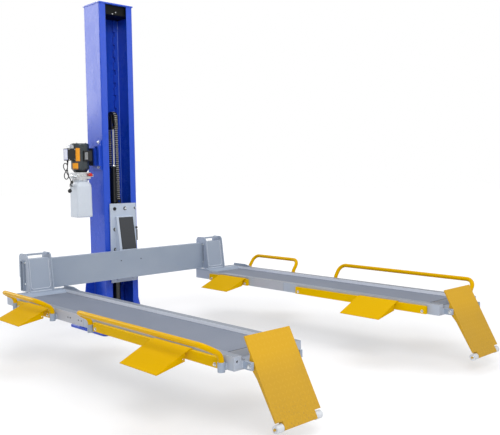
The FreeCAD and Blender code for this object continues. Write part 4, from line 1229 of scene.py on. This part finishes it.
def lay_floor():
    """Pale floor that brightens with distance, and keeps its plain diffuse shade for the light it throws."""
    bm = bmesh.new()
    bmesh.ops.create_grid(bm, x_segments=1, y_segments=1, size=40.0)
    mesh = bpy.data.meshes.new("studio_floor")
    bm.to_mesh(mesh)
    bm.free()
    floor = bpy.data.objects.new("studio_floor", mesh)
    floor.location.z = -0.0005
    bpy.context.collection.objects.link(floor)
    material = bpy.data.materials.new("pale_studio_floor")
    material.use_nodes = True
    tree = material.node_tree
    tree.nodes.clear()
    matt = add(tree, "BsdfDiffuse", {"Color": (0.80, 0.80, 0.81, 1.0)})
    dim = add(tree, "BsdfDiffuse", {"Color": (0.46, 0.46, 0.47, 1.0)})
    place = add(tree, "TexCoord", out="Object")
    off = add(tree, "VectorMath", (place, FLOOR_MIDDLE), out="Value", operation="DISTANCE")
    far = add(tree, "MapRange", (off, FLOOR_NEAR, FLOOR_FAR, 0.52, 0.80))
    lit = add(tree, "Emission", {"Color": (1.0, 1.0, 1.0, 1.0), "Strength": far})
    rays = add(tree, "LightPath").node.outputs
    seen = add(tree, "Math", (rays["Is Camera Ray"], rays["Is Glossy Ray"]), operation="MAXIMUM")
    seen = add(tree, "Math", (seen, rays["Is Transmission Ray"]), operation="MAXIMUM")
    bright = add(tree, "AddShader", (dim, lit))
    add(tree, "OutputMaterial", (add(tree, "MixShader", (seen, matt, bright)),))
    mesh.materials.append(material)


def soft_box(name, place, aim, size, watts, seen=True):
    """Rectangular lamp at a place, aimed at another."""
    data = bpy.data.lights.new(name, "AREA")
    data.shape = "RECTANGLE"
    data.size, data.size_y = size
    data.energy = watts
    lamp = bpy.data.objects.new(name, data)
    bpy.context.collection.objects.link(lamp)
    lamp.location = place
    lamp.rotation_mode = "QUATERNION"
    lamp.rotation_quaternion = (Vector(aim) - Vector(place)).to_track_quat("-Z", "Y")
    lamp.visible_camera = seen


def light_studio():
    """White surroundings, dimmer for the object's own light, and five soft boxes."""
    world = bpy.data.worlds.new("pale_studio")
    bpy.context.scene.world = world
    world.use_nodes = True
    tree = world.node_tree
    tree.nodes.clear()
    rays = add(tree, "LightPath").node.outputs
    seen = add(tree, "Math", (rays["Is Camera Ray"], rays["Is Transmission Ray"]), operation="MAXIMUM")
    level = add(tree, "MapRange", (seen, 0.0, 1.0, 0.60, 1.0))
    sky = add(tree, "Background", {"Color": (1.0, 1.0, 1.0, 1.0), "Strength": level})
    add(tree, "OutputWorld", (sky,))
    soft_box("front_soft_box", (-3.5, -6.5, 5.0), (0.0, -1.2, 0.6), (3.0, 3.0), 230.0)
    soft_box("left_rear_soft_box", (-3.6, 5.9, 4.1), (0.0, 0.0, 2.2), (3.2, 3.6), 170.0)
    soft_box("right_front_soft_box", (4.3, -7.4, 3.9), (0.0, -0.1, 2.0), (3.0, 2.6), 42.0)
    soft_box("backdrop_glow", (4.5, 8.5, 2.2), (0.5, -1.5, 0.5), (13.0, 3.6), 65.0, seen=False)
    soft_box("top_soft_box", (1.0, -1.5, 6.0), (0.0, -1.2, 0.4), (4.0, 4.0), 110.0)


stand_camera()
dress_solids()
lead = power_cord()
strain_relief()
hank_tie()
plug = cord_plug()
cap_bolts()
wiper_ring()
lift_chain()
chain_end()
rack_bead()
foot_gussets()
foot_welds()
unit_bolts()
motor_trim()
motor_labels()
box_label()
box_screws()
side_box_trim()
box_cover()
pump_fittings()
lever_grip()
lever_ball()
filler_cap()
carriage_bolts()
bracket_bolts()
bracket_frames()
carriage_welds()
hole_shade_cups("beam_hole_shade_cups", [(x, BEAM_FRONT, 627) for x in (-119, 92)], (0, -1, 0))
for side in (-1, 1):
    spots = [(side * RUN_OUT, y, 424) for y in (-1316, -1348, -1458, -1497)]
    hole_shade_cups("near_rail_hole_shade_cups" if side < 0 else "far_rail_hole_shade_cups", spots, (side, 0, 0))
bar_bolts()
hinge_bolts()
runway_welds()
roller_caps(-1, "near_ramp")
roller_caps(1, "far_ramp")
lay_floor()
light_studio()

bpy.context.scene.view_settings.view_transform = "Standard"
